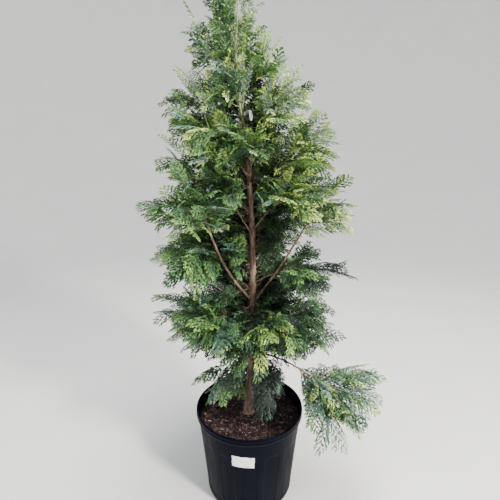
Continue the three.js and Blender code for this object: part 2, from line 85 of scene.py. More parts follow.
# One row for each limb: name, foot, azimuth, bough's length, its first and last rise, the stem's
# length and last rise, and the mix of greens on its sprays, which also paints the shade and sunlight on its
# mass
LIMBS = (
    ("low_right", 492, -17, 190, 2, -30, 100, -8, "silver"),
    ("low_front", 545, -68, 40, 5, -35, 90, -80, "blue"),
    ("low_left", 500, 200, 50, 0, -35, 60, -60, "green"),
    ("low_back", 530, 96, 70, 25, 12, 100, 0, "shade"),
    ("lower_left", 560, 168, 70, 35, 15, 90, 5, "green"),
    ("lower_right", 585, -2, 60, 30, 8, 80, -12, "shade"),
    ("front", 590, -72, 50, 30, 12, 60, -5, "fan"),
    ("lower_back", 610, 60, 70, 38, 24, 100, 10, "shade"),
    ("front_left", 630, 214, 60, 25, 10, 80, -10, "green"),
    ("right", 656, 12, 285, 50, 60, 70, 56, "sunlit"),
    ("left", 668, 222, 300, 44, 70, 70, 60, "grey"),
    ("back_left", 690, 132, 70, 45, 30, 110, 20, "shade"),
    ("mid_left", 700, 182, 90, 45, 25, 90, 20, "green"),
    ("mid_right", 720, -24, 80, 42, 24, 80, 12, "shade"),
    ("mid_back", 760, 84, 70, 46, 34, 110, 24, "shade"),
    ("outer_left", 765, 204, 0, 42, 42, 190, 12, "green"),
    ("small_left", 884, 232, 112, 40, 58, 60, 40, "green"),
    ("small_right", 890, -38, 76, 52, 44, 80, 30, "tipped"),
    ("middle_left", 800, 162, 0, 44, 44, 190, 26, "green"),
    ("middle_right", 830, 22, 0, 46, 46, 190, 30, "tipped"),
    ("middle_back", 870, 112, 0, 46, 46, 190, 30, "shade"),
    ("upper_back", 910, 62, 0, 50, 50, 190, 34, "green"),
    ("upper_left", 940, 186, 0, 48, 48, 200, 30, "crown"),
    ("upper_right", 990, -8, 0, 50, 50, 180, 40, "sunlit"),
    ("upper_front", 1030, -84, 0, 55, 55, 120, 45, "crown"),
    ("back_crown", 1010, 140, 0, 48, 48, 180, 36, "green"),
    ("crown_left", 1050, 206, 0, 50, 50, 180, 42, "crown"),
    ("crown_back", 1080, 84, 0, 52, 52, 170, 44, "crown"),
    ("crown_right", 1110, -34, 0, 54, 54, 140, 46, "sunlit"),
    ("high_left", 1130, 168, 0, 50, 50, 180, 36, "grey"),
    ("high_right", 1160, 26, 0, 54, 54, 140, 48, "crown"),
    ("high_front", 1168, 256, 0, 58, 58, 110, 52, "grey"),
    ("high_back", 1240, 112, 0, 56, 56, 130, 50, "crown"),
    ("top_right", 1245, -20, 0, 56, 56, 100, 46, "crown"),
    ("top_left", 1260, 190, 0, 58, 58, 150, 54, "grey"),
    ("top_back", 1330, 70, 0, 62, 62, 90, 58, "crown"),
    ("tip_left", 1400, 210, 0, 62, 62, 60, 58, "grey"),
    ("leader", 1550, 0, 0, 85, 85, 30, 88, "crown"),
)

# Greens as linear base colours
GREENS = {
    # Painted shade: the darkest green, for the bodies of sprays that lie in shadow
    "shaded_green": (0.006, 0.014, 0.011),
    "deep": (0.032, 0.076, 0.032),
    "mid": (0.076, 0.174, 0.052),
    "fresh": (0.17, 0.31, 0.078),
    "bright": (0.46, 0.6, 0.13),
    "blue": (0.048, 0.112, 0.078),
    "pale": (0.23, 0.32, 0.23),
}
# The mixes that the sprays of a mass are dealt from: a spray's body, its tips, the share of such sprays
MIXES = {
    # Painted shade: dark greens for the masses that lie in shadow
    "shade": [("shaded_green", "deep", 0.25), ("deep", "mid", 0.4), ("blue", "mid", 0.2), ("mid", "fresh", 0.15)],
    "green": [("deep", "mid", 0.3), ("mid", "fresh", 0.5), ("fresh", "bright", 0.05), ("blue", "pale", 0.15)],
    "grey": [("blue", "pale", 0.25), ("pale", "bright", 0.08), ("mid", "fresh", 0.55), ("deep", "mid", 0.12)],
    "silver": [
        ("blue", "pale", 0.3), ("pale", "bright", 0.15), ("mid", "bright", 0.35), ("blue", "mid", 0.2),
    ],
    # Painted sunlight and shade: bright tips over dark bodies, for the fan that the sun falls on
    "fan": [("shaded_green", "deep", 0.35), ("deep", "mid", 0.2), ("mid", "bright", 0.2), ("fresh", "bright", 0.25)],
    # Painted shade: the drooping frond lies in shadow under the fan
    "blue": [("shaded_green", "shaded_green", 0.5), ("shaded_green", "deep", 0.4), ("shaded_green", "blue", 0.1)],
    "whip": [("fresh", "bright", 0.4), ("pale", "bright", 0.6)],
    # Painted shade: dark greens for the shoots inside the crown
    "inner": [("shaded_green", "deep", 0.5), ("deep", "mid", 0.5)],
    "tipped": [
        ("deep", "fresh", 0.3), ("mid", "bright", 0.45), ("fresh", "bright", 0.1), ("blue", "pale", 0.15),
    ],
    # Painted sunlight: bright tips on the masses that the sun falls on
    "sunlit": [
        ("deep", "bright", 0.2), ("mid", "bright", 0.35), ("fresh", "bright", 0.35), ("pale", "bright", 0.1),
    ],
    "crown": [
        ("mid", "fresh", 0.54), ("fresh", "bright", 0.2), ("blue", "pale", 0.2), ("pale", "bright", 0.06),
    ],
}

# How a spray hangs: shares of its length that it droops, sweeps aside and is cupped by
POSTURE = {"droop": (0.08, 0.35), "sweep": (-0.12, 0.12), "cup": (0.1, 0.5)}
# The sizes that are tried in turn, until a spray has room
SIZES = (1, 0.82, 0.66, 0.5)
# Smaller sprays that leave a twig at these shares of its run, to these sides
FINER = ((0.25, 1), (0.5, -1), (0.74, 1), (0.95, -1))
FINE = {
    "reach": 0.55, "angle": 44, "play": (0.75, 1.25), "tilt": 40, "roll": 55, "size": (0.6, 0.85),
    "taper": 0.3, "stalk": 0.06,
}
# Sprays that fill a mass from inside, further apart towards the plant's top
FILL = {
    "spacing": 3.8, "along_bough": 1.5, "jitter": (0.1, 0.9), "size": (0.5, 0.95), "stalk": 30,
    "stalk_play": (0.3, 2), "angle": 60, "angle_play": (0.5, 1.3), "roll": 65, "start": 0.06,
    "sight_start": 0.5, "thinning": 4.5, "power": 4,
}
# Short shoots from the trunk itself, in dark greens that paint the shade inside the crown, and fresh along
# the leader
SHOOTS = {
    "count": 520, "low": 540, "high": 1548, "fresh": 1330, "thinning": 2.0, "rise": (-10, 60),
    "size": (0.4, 0.8), "stalk": 26, "stalk_play": (0.5, 2.5),
}
# Long slender young shoots that reach out of the upper masses, with sparse narrow sprays
WHIPS = {
    "count": 5, "high_count": 12, "foot": 870, "high_foot": 1130, "start": 0.35, "stretch": 0.6, "aside": 35,
    "rise": (6, 34), "stalk": (0.15, 0.6), "length": 0.95, "width": 0.2, "radius": 1.9, "beyond": 40,
}
# The masses whose sprays are shorter: by how much, the stretch of their box's height that they keep
# to, and how much closer their filling twigs stand
TRIMMED = {
    "low_right": (0.95, 0, 0.6, 1.6), "low_left": (0.55, 0.05, 0.85, 0.6), "low_front": (0.75, 0.05, 1, 0.8),
}

# A spray is a rib with branchlets to either side, and leaflets along each of those. Its width is a
# share of its length, and so is a whip's
FROND = {
    "width": 0.56, "first": 0.7, "last": 0.6, "fullness": 0.85, "play": (0.82, 1.12), "set": 0.95,
    "least": 5, "rib": (4, 3), "rib_steps": 8, "kinds": 4,
}
FROND_LENGTHS = (40, 60, 85, 115, 150, 185)
BRANCHLET = {
    "spacing": 16, "angle": 44, "play": (0.85, 1.12), "swell": 0.25, "curve": 0.16, "wave": 0.05,
    "wave_turn": 5, "axis": 5.2, "axis_ends": (0, 0.5, 1), "axis_shares": (0.2, 0.7),
}
LEAFLET = {
    "spacing": 9, "first": 0.55, "last": 0.4, "shift": 0.4, "jitter": 0.1, "angle": 24,
    "angle_play": (0.8, 1.15), "share": 0.22, "foot": 0.55, "rise": 2, "fade": 0.75, "least": 7.5,
    "most": 11.5, "size_play": (0.85, 1.15), "width": 4.2, "width_play": (0.85, 1.1),
    "corners": (0.42, 0.5), "tilt": 0.22, "fold": 0.6, "overlap": 1.12,
}
# Which leaflets are tips, from how far they lie along a branchlet and along the rib
TIPS = {"outward": 0.6, "forward": 0.5, "play": 0.2, "limit": (0.5, 1.02)}
PIECE_LEAFLETS = 96000

# What foliage keeps clear of, and by how much
ROOM = {
    "shared": 40, "limb": 2.5, "box": 12, "rim": 8, "bore": 24, "soil": 12, "ground": 12, "strap": 20,
    "ahead": 4,
}
# How many straight stretches stand for a limb, and for the trunk
STRETCHES = 8
TRUNK_STRETCHES = 40
# What stays in sight from the front, as stretches with the half width that is kept open before them
SIGHT = {
    "trunk": ((275, 470, 8), (640, 1080, 16), (1345, 1530, 5)),
    "boughs": {
        "left": (0.05, 0.9, 9), "right": (0.05, 0.9, 9), "small_left": (0.05, 0.9, 9),
        "small_right": (0.05, 0.9, 9), "low_right": (0.25, 0.75, 6),
    },
    "tag": 18,
}

# Bark is old, young and green in turn, above these heights
BANDS = {"trunk": (1130, 1300), "stem": (1050, 1300), "play": 25}
GREEN_TWIGS = 1150
# Painted sunlight: these boughs take the lighter young bark because they stand in the sun
SUNLIT_BOUGHS = ("low_right", "right", "small_right")
BARK = {
    "ridges": (3, 5, 8, 13), "pace": (18, 60), "wander": 1.6, "quiver": 0.7, "quick": 0.31,
    "collar": 0.45, "collar_reach": 2.2, "full_radius": 9, "least": 0.12, "mean": 0.75, "swell": 0.35,
    "swell_pace": 23,
}
# How deep the bark's relief is on each kind of limb, and its tube's sides and step
RELIEF = {"trunk": 0.55, "bough": 0.28, "stem": 0.12}
TUBES = {"trunk": (32, 3.5), "bough": (14, 4), "stem": (8, 5), "bare": (5, 4), "stalk": (4, 30)}
FLARE = {"share": 0.4, "run": 10}
SUNK = {"trunk": 4, "limb": 0.01}
STALK = {"into_spray": 0.3, "least": 0.35, "full_length": 150, "thin": 0.4}
# Thin bare twigs: their bough, the share along it, how far they turn aside and rise, their length
BARE_TWIGS = (
    ("low_right", 0.42, -50, 30, 34), ("low_right", 0.56, -70, -55, 46), ("low_right", 0.6, 40, 20, 38),
    ("low_right", 0.74, -35, -30, 40), ("right", 0.5, -60, -10, 40), ("right", 0.66, 50, 0, 46),
    ("left", 0.4, 60, -15, 36), ("left", 0.7, -55, 5, 44),
)
BARE = {"thick": 1.3, "thin": 0.5, "bend": 25}

# The pot's wall is a cone with panels set back between its ribs
SOIL_LEVEL = 266
POT = {
    "foot": 144, "shoulder": 171, "wall_height": 278, "fillet": 6, "wall": 2.5, "floor": 3,
    "panels": 14, "panel_share": 0.75, "panel_low": 20, "panel_high": 222, "corner": 16, "recess": 0.9,
    "edge": 5,
}
# Where the wall's columns lie in half a panel's pitch: over the panel, and about its edge
PANEL_COLUMNS = (0, 0.1, 0.19, 0.27)
PANEL_EDGE_COLUMNS = (-0.05, -0.032, -0.016, 0, 0.03, 0.07)
# Rings of points on the pot's flat underside, as shares of its foot's radius
UNDERSIDE_RINGS = (0.5, 0.93)
# The fillet at the pot's foot, as shares of its radius inwards and up
FOOT_SECTION = ((1, 0), (0.45, 0.12), (0.08, 0.45))
# The rolled rim's section, as how far a point lies inside the rim's radius, and its height
RIM_SECTION = (
    (6.5, 276.5), (5, 277.6), (2.3, 278.6), (0.5, 280.2), (0, 282.5), (0, 286.5), (0.9, 288.2),
    (0.2, 290), (0, 293.5), (0.3, 296.5), (1.3, 298.9), (2.9, 299.9), (4.5, 299.6), (5.4, 298),
    (5.9, 292), (6.9, 284), (8.6, 276),
)
DRAINS = {"count": 8, "radius": 8, "height": 18, "depth": 24, "sides": 24}
LABEL = {
    "width": 69, "height": 40, "thickness": 0.5, "centre": 213, "azimuth": -96.6, "tilt": -2,
    "columns": 45, "rows": 27, "bubbles": 0.22,
}
# How uneven the sticker's edges are: a stretch and its pace, then a shift and its pace
LABEL_EDGES = {"width": (0.006, 19, 0.5, 11), "height": (0.012, 17, 0.35, 9)}
# The sticker's upper corners that lift: which side, from how far out, and how much
LABEL_CORNERS = ((1, 0.72, 1.1), (-1, 0.8, 0.5))
CORNER_SLOPE = 4
SWELLS = {"lengths": (95, 70, 48, 36, 27, 20, 15, 12), "height": 0.13, "power": 0.6, "dip": 3}
SOIL = {"columns": 150, "rings": 46, "middle": 3, "gap": 0.8}
CHIPS = {
    "count": 3400, "margin": 14, "length": (4, 15), "width": 0.22, "width_play": (0.5, 1.6),
    "width_range": (1, 5.5), "thickness": 0.9, "thickness_play": (0.5, 1.5), "lie": 0.8,
    "heap": (0, 1.2), "tilt": 24, "pitch": 0.5, "shades": (0.5, 0.43, 0.07), "spread": (0.008, 1),
}
# A sliver's outline, as its run, half width and bend at four stations
CHIP_STATIONS = ((-1, 0.35, 0.1), (-0.45, 0.95, -0.12), (0.4, 1, 0.1), (1, 0.45, -0.15))
# The strap's route from its clasp round the trunk and back, then up and over: out from the loop's
# centre, aside and up
TAG = {
    "height": 1226, "azimuth": -60, "width": 10, "thickness": 0.8, "radius": 11, "inset": 6.3, "mouth": 70,
    "turn_from": 0.62, "turn_run": 16, "end_width": 0.35, "end_taper": 9, "loop_points": 15,
    "columns": 110, "rows": 7,
}
TAG_CLASP = (31, 0.5, 0)
TAG_TAIL = (
    (27, -0.5, 0), (33, -0.5, 3), (39, 0, 6), (45, 0.5, 4), (49, 1, -4), (51, 1, -13), (51, 1, -22),
)
FLOOR = {"flat": 3.5, "bend": 3.0, "wall": 5.0, "columns": 96, "bend_steps": 16}


# Curves

def xyz(x, y, z):
    """Points from their coordinates, any of which may be one number for all."""
    return np.stack(np.broadcast_arrays(x, y, z), -1)


def unit(vector):
    return vector / np.linalg.norm(vector, axis=-1, keepdims=True)


def in_mm(box):
    return [np.array(corner) / MM for corner in box]


def heading(azimuth, rise):
    """A unit direction from an azimuth and a rise above the level."""
    a, r = math.radians(azimuth), math.radians(rise)
    return np.array([math.cos(a) * math.cos(r), math.sin(a) * math.cos(r), math.sin(r)])


def azimuth_of(direction):
    return math.degrees(math.atan2(direction[1], direction[0]))


def turned(vector, axis, degrees):
    """The vector, turned about a unit axis."""
    a = math.radians(degrees)
    across = np.cross(axis, vector)
    return vector * math.cos(a) + across * math.sin(a) + axis * axis.dot(vector) * (1 - math.cos(a))


class Path:
    """A curve that is kept as close points and looked up by its share of the length."""

    def __init__(self, points):
        self.points = np.asarray(points, float)
        steps = np.linalg.norm(np.diff(self.points, axis=0), axis=1)
        self.run = np.concatenate([[0], np.cumsum(steps)])
        self.length = self.run[-1]

    def at(self, share):
        run = np.asarray(share, float) * self.length
        return np.stack([np.interp(run, self.run, self.points[:, i]) for i in range(3)], -1)

    def along(self, share):
        near = 0.004
        return unit(self.at(np.minimum(share + near, 1)) - self.at(np.maximum(share - near, 0)))

    def cut(self, count, start=0, end=1):
        """The ends of a number of equal stretches of the path."""
        return self.at(np.linspace(start, end, count + 1))


def spline(knots, steps=40):
    """The centripetal spline through the knots."""
    knots = np.array(knots, float)
    knots = np.vstack([2 * knots[0] - knots[1], knots, 2 * knots[-1] - knots[-2]])
    t = np.linspace(0, 1, steps)[:, None]
    points = []
    for p0, p1, p2, p3 in zip(knots, knots[1:], knots[2:], knots[3:]):
        d0, d1, d2 = (np.linalg.norm(b - a) ** 0.5 for a, b in ((p0, p1), (p1, p2), (p2, p3)))
        m1 = ((p1 - p0) / d0 - (p2 - p0) / (d0 + d1) + (p2 - p1) / d1) * d1
        m2 = ((p2 - p1) / d1 - (p3 - p1) / (d1 + d2) + (p3 - p2) / d2) * d1
        square = 3 * (p2 - p1) - 2 * m1 - m2
        cube = 2 * (p1 - p2) + m1 + m2
        points.append(p1 + m1 * t + square * t**2 + cube * t**3)
    return Path(np.vstack(points))


def bent(start, azimuth, length, rise_from, rise_to, steps=200):
    """A curve that leaves a point at one rise and ends at another."""
    middle = start + heading(azimuth, rise_from) * length / 2
    end = middle + heading(azimuth, rise_to) * length / 2
    t = np.linspace(0, 1, steps + 1)[:, None]
    return Path(start * (1 - t) ** 2 + middle * 2 * t * (1 - t) + end * t**2)


TRUNK_PATH = spline(TRUNK_AXIS)
TRUNK_LOW, TRUNK_HIGH = TRUNK_AXIS[0][2], TRUNK_AXIS[-1][2]
POT_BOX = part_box("pot")
RIM_RADIUS = POT_BOX[1].x / MM
POT_HEIGHT = POT_BOX[1].z / MM


def trunk_point(height):
    """The point on the trunk's axis at a height."""
    points = TRUNK_PATH.points
    return np.stack([np.interp(height, points[:, 2], points[:, i]) for i in range(3)], -1)


def trunk_radius(height):
    share = np.clip((height - TRUNK_LOW) / (TRUNK_HIGH - TRUNK_LOW), 0, 1)
    flare = TRUNK["flare"] * np.exp(-np.maximum(height - SOIL_LEVEL, 0) / TRUNK["flare_height"])
    return TRUNK["foot"] + (TRUNK["tip"] - TRUNK["foot"]) * share ** TRUNK["taper"] + flare


def strap_path():
    """The middle line of the strap tag, from its clasp round the trunk to its hanging end."""
    radius = TAG["radius"] - TAG["thickness"] / 2
    angle = np.radians(np.linspace(TAG["mouth"], 360 - TAG["mouth"], TAG["loop_points"]))
    centre = TAG["radius"] - TAG["inset"]
    loop = xyz(centre + radius * np.cos(angle), radius * np.sin(angle), 0)
    out, aside, up = np.vstack([[TAG_CLASP], loop, TAG_TAIL]).T[..., None]
    knots = out * heading(TAG["azimuth"], 0) + aside * heading(TAG["azimuth"] + 90, 0) + up * UP
    return spline(knots + trunk_point(TAG["height"]))


# Growth by the source's rule

def seeded_random(seed):
    """The source's generator, so that the same twigs grow."""
    state = (seed * GENERATOR["stride"] + GROWTH_SEED) % GENERATOR["range"]
    while True:
        state = (state * GENERATOR["factor"] + GENERATOR["shift"]) % GENERATOR["range"]
        yield state / GENERATOR["range"]


def swing(reach):
    """A random turn to either side."""
    return RNG.uniform(-1, 1) * reach


def lay_limb(index, row):
    """Where a row's bough and stem run, how thick they are, and the box of its mass."""
    name, foot, azimuth, length, rise_from, rise_to, stem_length, end, mix = row
    radius = max(LIMB["least"], (length + stem_length) * LIMB["per_length"])
    bough = bent(trunk_point(foot), azimuth, length, rise_from, rise_to)
    at_tip = foot >= TRUNK_HIGH
    gap = CLEARANCE if length or at_tip else 0
    start = bough.points[-1] + heading(azimuth, rise_to) * gap
    box = in_mm(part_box("foliage_" + name))
    trim, lowest, highest, closer = TRIMMED.get(name, (1, 0, 1, 1))
    low, tall = box[0][2], box[1][2] - box[0][2]
    box[0][2] = low + tall * lowest
    box[1][2] = low + tall * highest
    return {
        "name": name, "index": index, "foot": foot, "azimuth": azimuth, "length": length,
        "radius": radius, "bough": bough, "stem": bent(start, azimuth, stem_length, rise_to, end),
        "stem_radius": TRUNK["tip"] if at_tip else radius * (LIMB["tip_share"] if length else 1),
        "stem_length": stem_length, "mix": mix, "box": box, "trim": trim, "closer": closer,
    }


def crown_share(height):
    """How far up the plant a height lies, from the pot's rim to the trunk's tip."""
    return max(0, (height - POT_HEIGHT) / (TRUNK_HIGH - POT_HEIGHT))


def spray_length(height):
    """Sprays are shorter towards the top of the plant."""
    return SPRAY["length"] + (SPRAY["top"] - SPRAY["length"]) * crown_share(height) ** 2


def twig_way(limb, along, side, lift, spread):
    """Where a twig of the source's rule points, to one side of the stem, and what lies above it."""
    across = heading(limb["azimuth"] + 90, 0)
    above = np.cross(along, across)
    lift = math.radians(spread(TWIG["sway"]) + lift)
    angle = math.radians(TWIG["angle"] * (1 + spread(TWIG["play"])))
    direction = along * math.cos(angle) + across * side * math.sin(angle) * math.cos(lift)
    return direction + above * math.sin(angle) * math.sin(lift), above


def grow_twigs(limb):
    """The source's seeded rule: twigs to either side in turn, each with a fork, and one at the end."""
    draws = seeded_random(limb["index"] + 1)
    next(draws)
    next(draws)

    def spread(reach):
        return reach * ((next(draws) - 0.5) * 2)

    stem = limb["stem"]
    count = max(3, math.floor(limb["stem_length"] / TWIG["spacing"] + 0.5))
    full = spray_length(stem.at(0.5)[2])
    twigs = []
    for k in range(count):
        share = (k + TWIG["first"]) / count
        side = 1 if k % 2 else -1
        lift = TWIG["lift"] if k % 4 < 2 else -TWIG["lift"]
        direction, above = twig_way(limb, stem.along(share), side, lift, spread)
        longest = limb["stem_length"] * TWIG["share"] * (1 - TWIG["taper"] * share)
        stalk = max(full * TWIG["least_share"], longest) * (1 + spread(TWIG["play"]))
        length = full * (1 - SPRAY["taper"] * share) * (1 + spread(SPRAY["play"]))
        at = stem.at(share)
        twigs.append(twig_of(at, direction, spread(SPRAY["roll"]), stalk, length))
        fork = turned(direction, above, -side * SPRAY["splay"])
        fork_at = at + direction * stalk * TWIG["fork"]
        fork_stalk, inner = stalk * TWIG["fork_stalk"], length * SPRAY["inner"]
        twigs.append(twig_of(fork_at, fork, spread(SPRAY["roll"]), fork_stalk, inner))
    end, end_stalk = stem.at(TWIG["end"]), TWIG["end_stalk"] * full
    twigs.append(twig_of(end, stem.along(1.0), spread(SPRAY["roll"]), end_stalk, full))
    return twigs


def twig_of(at, direction, roll, stalk, length):
    """A twig from where it starts: along its direction, across its spray and out of its face."""
    along = unit(direction)
    across = np.cross(UP, along)
    if np.linalg.norm(across) < 0.05:
        across = np.array([0, 1, 0])
    across = turned(unit(across), along, roll)
    return {
        "at": at, "along": along, "across": across, "face": np.cross(along, across),
        "stalk": stalk, "length": length, "root": at + along * stalk,
        **{name: RNG.uniform(*span) for name, span in POSTURE.items()},
    }


def set_in_place(twig, local):
    """Points of a spray's own space, in millimetres, cupped, swept aside and drooping where it stands."""
    x, y, z = local[..., 0], local[..., 1], local[..., 2]
    size = twig["length"]
    side = y + twig["sweep"] * x * x / size
    out = z - twig["cup"] * y * y / size
    placed = x[..., None] * twig["along"] + side[..., None] * twig["across"] + out[..., None] * twig["face"]
    placed = placed + twig["root"]
    placed[..., 2] -= twig["droop"] * (x * x + y * y) / size
    return placed


def finer_twigs(twig):
    """Smaller sprays that leave a twig's stalk and its spray's rib to either side, out of its face."""
    whole = twig["stalk"] + twig["length"] * FINE["reach"]
    for share, side in FINER:
        run = whole * share
        beyond = max(0, run - twig["stalk"])
        at = twig["at"] + twig["along"] * min(run, twig["stalk"])
        if beyond:
            at = set_in_place(twig, np.array([beyond, 0, 0]))
        turn = FINE["angle"] * RNG.uniform(*FINE["play"]) * side
        direction = turned(twig["along"], twig["face"], turn)
        direction = turned(direction, twig["along"], swing(FINE["tilt"]))
        length = twig["length"] * RNG.uniform(*FINE["size"]) * (1 - FINE["taper"] * share)
        yield twig_of(at, direction, swing(FINE["roll"]), length * FINE["stalk"], length)


def filling_twigs(limb):
    """Short twigs all round a stem, between those of the source's rule, and fewer along its bough."""
    middle = limb["stem"].at(0.5)[2]
    full = spray_length(middle)
    thin = 1 + FILL["thinning"] * crown_share(middle) ** FILL["power"]
    runs = [(limb["stem"], 0.0, FILL["spacing"] * thin / limb["closer"])]
    if limb["length"]:
        start = FILL["sight_start"] if limb["name"] in SIGHT["boughs"] else FILL["start"]
        runs.append((limb["bough"], start, FILL["spacing"] * FILL["along_bough"]))
    for path, start, spacing in runs:
        count = int(path.length * (1 - start) / spacing)
        for k in range(count):
            share = start + (1 - start) * (k + RNG.uniform(*FILL["jitter"])) / count
            along = path.along(share)
            across = np.cross(along, UP if abs(along[2]) < 0.9 else (1, 0, 0))
            way = turned(unit(across), along, RNG.uniform(0, 360))
            angle = math.radians(FILL["angle"] * RNG.uniform(*FILL["angle_play"]))
            direction = along * math.cos(angle) + way * math.sin(angle)
            length = full * RNG.uniform(*FILL["size"])
            stalk = FILL["stalk"] * RNG.uniform(*FILL["stalk_play"])
            yield twig_of(path.at(share), direction, swing(FILL["roll"]), stalk, length)


def trunk_shoots():
    """Short shoots from all sides of the trunk, which fill the crown's inside."""
    for k in range(SHOOTS["count"]):
        share = ((k + RNG.uniform()) / SHOOTS["count"]) ** SHOOTS["thinning"]
        height = SHOOTS["low"] + (SHOOTS["high"] - SHOOTS["low"]) * share
        direction = heading(RNG.uniform(0, 360), RNG.uniform(*SHOOTS["rise"]))
        length = spray_length(height) * RNG.uniform(*SHOOTS["size"])
        stalk = min(length, SHOOTS["stalk"]) * RNG.uniform(*SHOOTS["stalk_play"])
        shoot = twig_of(trunk_point(height), direction, swing(FILL["roll"]), stalk, length)
        # Below the leader the shoots take the dark inner greens, painted shade inside the crown
        yield {**shoot, "mix": "inner" if height < SHOOTS["fresh"] else "crown"}


def whips(limb):
    """Long young shoots that leave the outer part of an upper mass's stem and reach up and out."""
    if limb["foot"] < WHIPS["foot"]:
        return
    stem = limb["stem"]
    length = spray_length(stem.at(0.5)[2]) * WHIPS["length"]
    count = WHIPS["high_count"] if limb["foot"] >= WHIPS["high_foot"] else WHIPS["count"]
    for k in range(count):
        share = WHIPS["start"] + WHIPS["stretch"] * (k + RNG.uniform()) / count
        along = stem.along(share)
        azimuth = azimuth_of(along) + RNG.uniform(-WHIPS["aside"], WHIPS["aside"])
        rise = math.degrees(math.asin(along[2])) + RNG.uniform(*WHIPS["rise"])
        stalk = limb["stem_length"] * RNG.uniform(*WHIPS["stalk"])
        whip = twig_of(stem.at(share), heading(azimuth, rise), swing(FILL["roll"]), stalk, length)
        yield {**whip, "mix": "whip", "slim": True}


# The room that foliage has

def distances(points, starts, ends):
    """From each point to each straight stretch."""
    run = ends - starts
    offset = points[:, None] - starts
    share = np.clip((offset * run).sum(-1) / np.maximum((run * run).sum(-1), 1e-9), 0, 1)
    return np.linalg.norm(offset - share[..., None] * run, axis=-1)


def seen(points):
    """Where points lie in the photograph's view, as tangents, and how far from the camera they are."""
    offset = points - np.array(CAMERA["place"]) / MM
    pitch = math.radians(CAMERA["pitch"])
    depth = offset[:, 1] * math.cos(pitch) - offset[:, 2] * math.sin(pitch)
    rise = offset[:, 1] * math.sin(pitch) + offset[:, 2] * math.cos(pitch)
    return np.stack([offset[:, 0] / depth, rise / depth], -1), depth


def stretches(lines):
    """Where the straight stretches of some lines of points start and end."""
    return np.vstack([line[:-1] for line in lines]), np.vstack([line[1:] for line in lines])


class Room:
    """What a spray keeps clear of: other masses' space, the trunk and boughs, the pot and its soil."""

    def __init__(self, limbs):
        self.starts, self.ends = stretches([limb["stem"].cut(STRETCHES) for limb in limbs])
        self.owner = np.repeat([limb["index"] for limb in limbs], STRETCHES)
        trunk = TRUNK_PATH.cut(TRUNK_STRETCHES)
        boughs = [limb for limb in limbs if limb["length"]]
        lines = [trunk, *[limb["bough"].cut(STRETCHES) for limb in boughs], strap_path().cut(STRETCHES)]
        radii = np.repeat([*[limb["radius"] for limb in boughs], ROOM["strap"]], STRETCHES)
        self.hard_starts, self.hard_ends = stretches(lines)
        self.hard_radius = np.concatenate([trunk_radius(trunk[:-1, 2]), radii])
        self.keep_in_sight(limbs)

    def keep_in_sight(self, limbs):
        """The stretches of trunk and boughs that stay in sight from the front, and the tag."""
        lines = [(strap_path().cut(STRETCHES), SIGHT["tag"])]
        for low, high, half in SIGHT["trunk"]:
            lines.append((trunk_point(np.linspace(low, high, STRETCHES + 1)), half))
        for limb in limbs:
            if limb["name"] in SIGHT["boughs"]:
                start, end, half = SIGHT["boughs"][limb["name"]]
                lines.append((limb["bough"].cut(STRETCHES, start, end), half))
        spots, depths = zip(*[seen(line) for line, _ in lines])
        self.sight_starts, self.sight_ends = stretches(spots)
        self.sight_depth = np.concatenate([depth[1:] for depth in depths])
        self.sight_half = np.repeat([half for _, half in lines], STRETCHES)

    def clear(self, limb, points):
        """Which points a mass may use."""
        own = True
        if limb["index"] is not None:
            near = distances(points, self.starts, self.ends)
            mine = self.owner == limb["index"]
            own = near[:, mine].min(1) - ROOM["shared"] < near[:, ~mine].min(1)
        hard = distances(points, self.hard_starts, self.hard_ends) - self.hard_radius
        free = hard.min(1) > ROOM["limb"]
        low, high = limb["box"]
        inside = ((points > low - ROOM["box"]) & (points < high + ROOM["box"])).all(1)
        return own & free & inside & self.clear_of_pot(points) & ~self.hides(points)

    def hides(self, points):
        """Which points would hide, from the front, a limb that stays in sight."""
        spot, depth = seen(points)
        near = distances(spot, self.sight_starts, self.sight_ends)
        ahead = depth[:, None] < self.sight_depth - ROOM["ahead"]
        return ((near < self.sight_half / depth[:, None]) & ahead).any(1)

    def clear_of_pot(self, points):
        radius = np.hypot(points[:, 0], points[:, 1])
        floor = np.where(radius < RIM_RADIUS + ROOM["rim"], POT_HEIGHT + ROOM["rim"], ROOM["ground"])
        floor = np.where(radius < RIM_RADIUS - ROOM["bore"], SOIL_LEVEL + ROOM["soil"], floor)
        return points[:, 2] > floor


# Leaflets

# A leaflet is folded along the line from its root to its tip, with a corner to either side
LEAFLET_FACES = np.array([[0, 1, 2], [0, 2, 3]])
LEAFLET_POINTS = 4


def leaflets_of(root, angle, length, width, lift, tilt):
    """Slim leaflets in the plane of a spray, with even sides and a short point."""
    along = xyz(np.cos(angle), np.sin(angle), lift) * length[:, None]
    side = xyz(-np.sin(angle), np.cos(angle), tilt) * width[:, None] / 2
    fold = xyz(0, 0, -LEAFLET["fold"] * width / 2)
    right, left = (root + along * share for share in LEAFLET["corners"])
    return np.stack([root, right + (fold - side), root + along, left + (fold + side)], 1)


def axis_leaflets(points, widths):
    """The slim green axis of a rib or branchlet, a leaflet from each point to the next."""
    step = np.diff(points, axis=0)
    length = np.linalg.norm(step[:, :2], axis=1) * LEAFLET["overlap"]
    return leaflets_of(points[:-1], np.arctan2(step[:, 1], step[:, 0]), length, widths, 0, 0)


def leaflet_sizes(u, length):
    """How long the leaflets at some shares of a branchlet's length are, before they vary."""
    swell = np.clip(1 - u, 0, 1) ** LEAFLET["fade"]
    size = length * LEAFLET["share"] * swell * np.minimum(1, LEAFLET["foot"] + LEAFLET["rise"] * u)
    return np.clip(size + LEAFLET["least"] / 2, LEAFLET["least"], LEAFLET["most"])


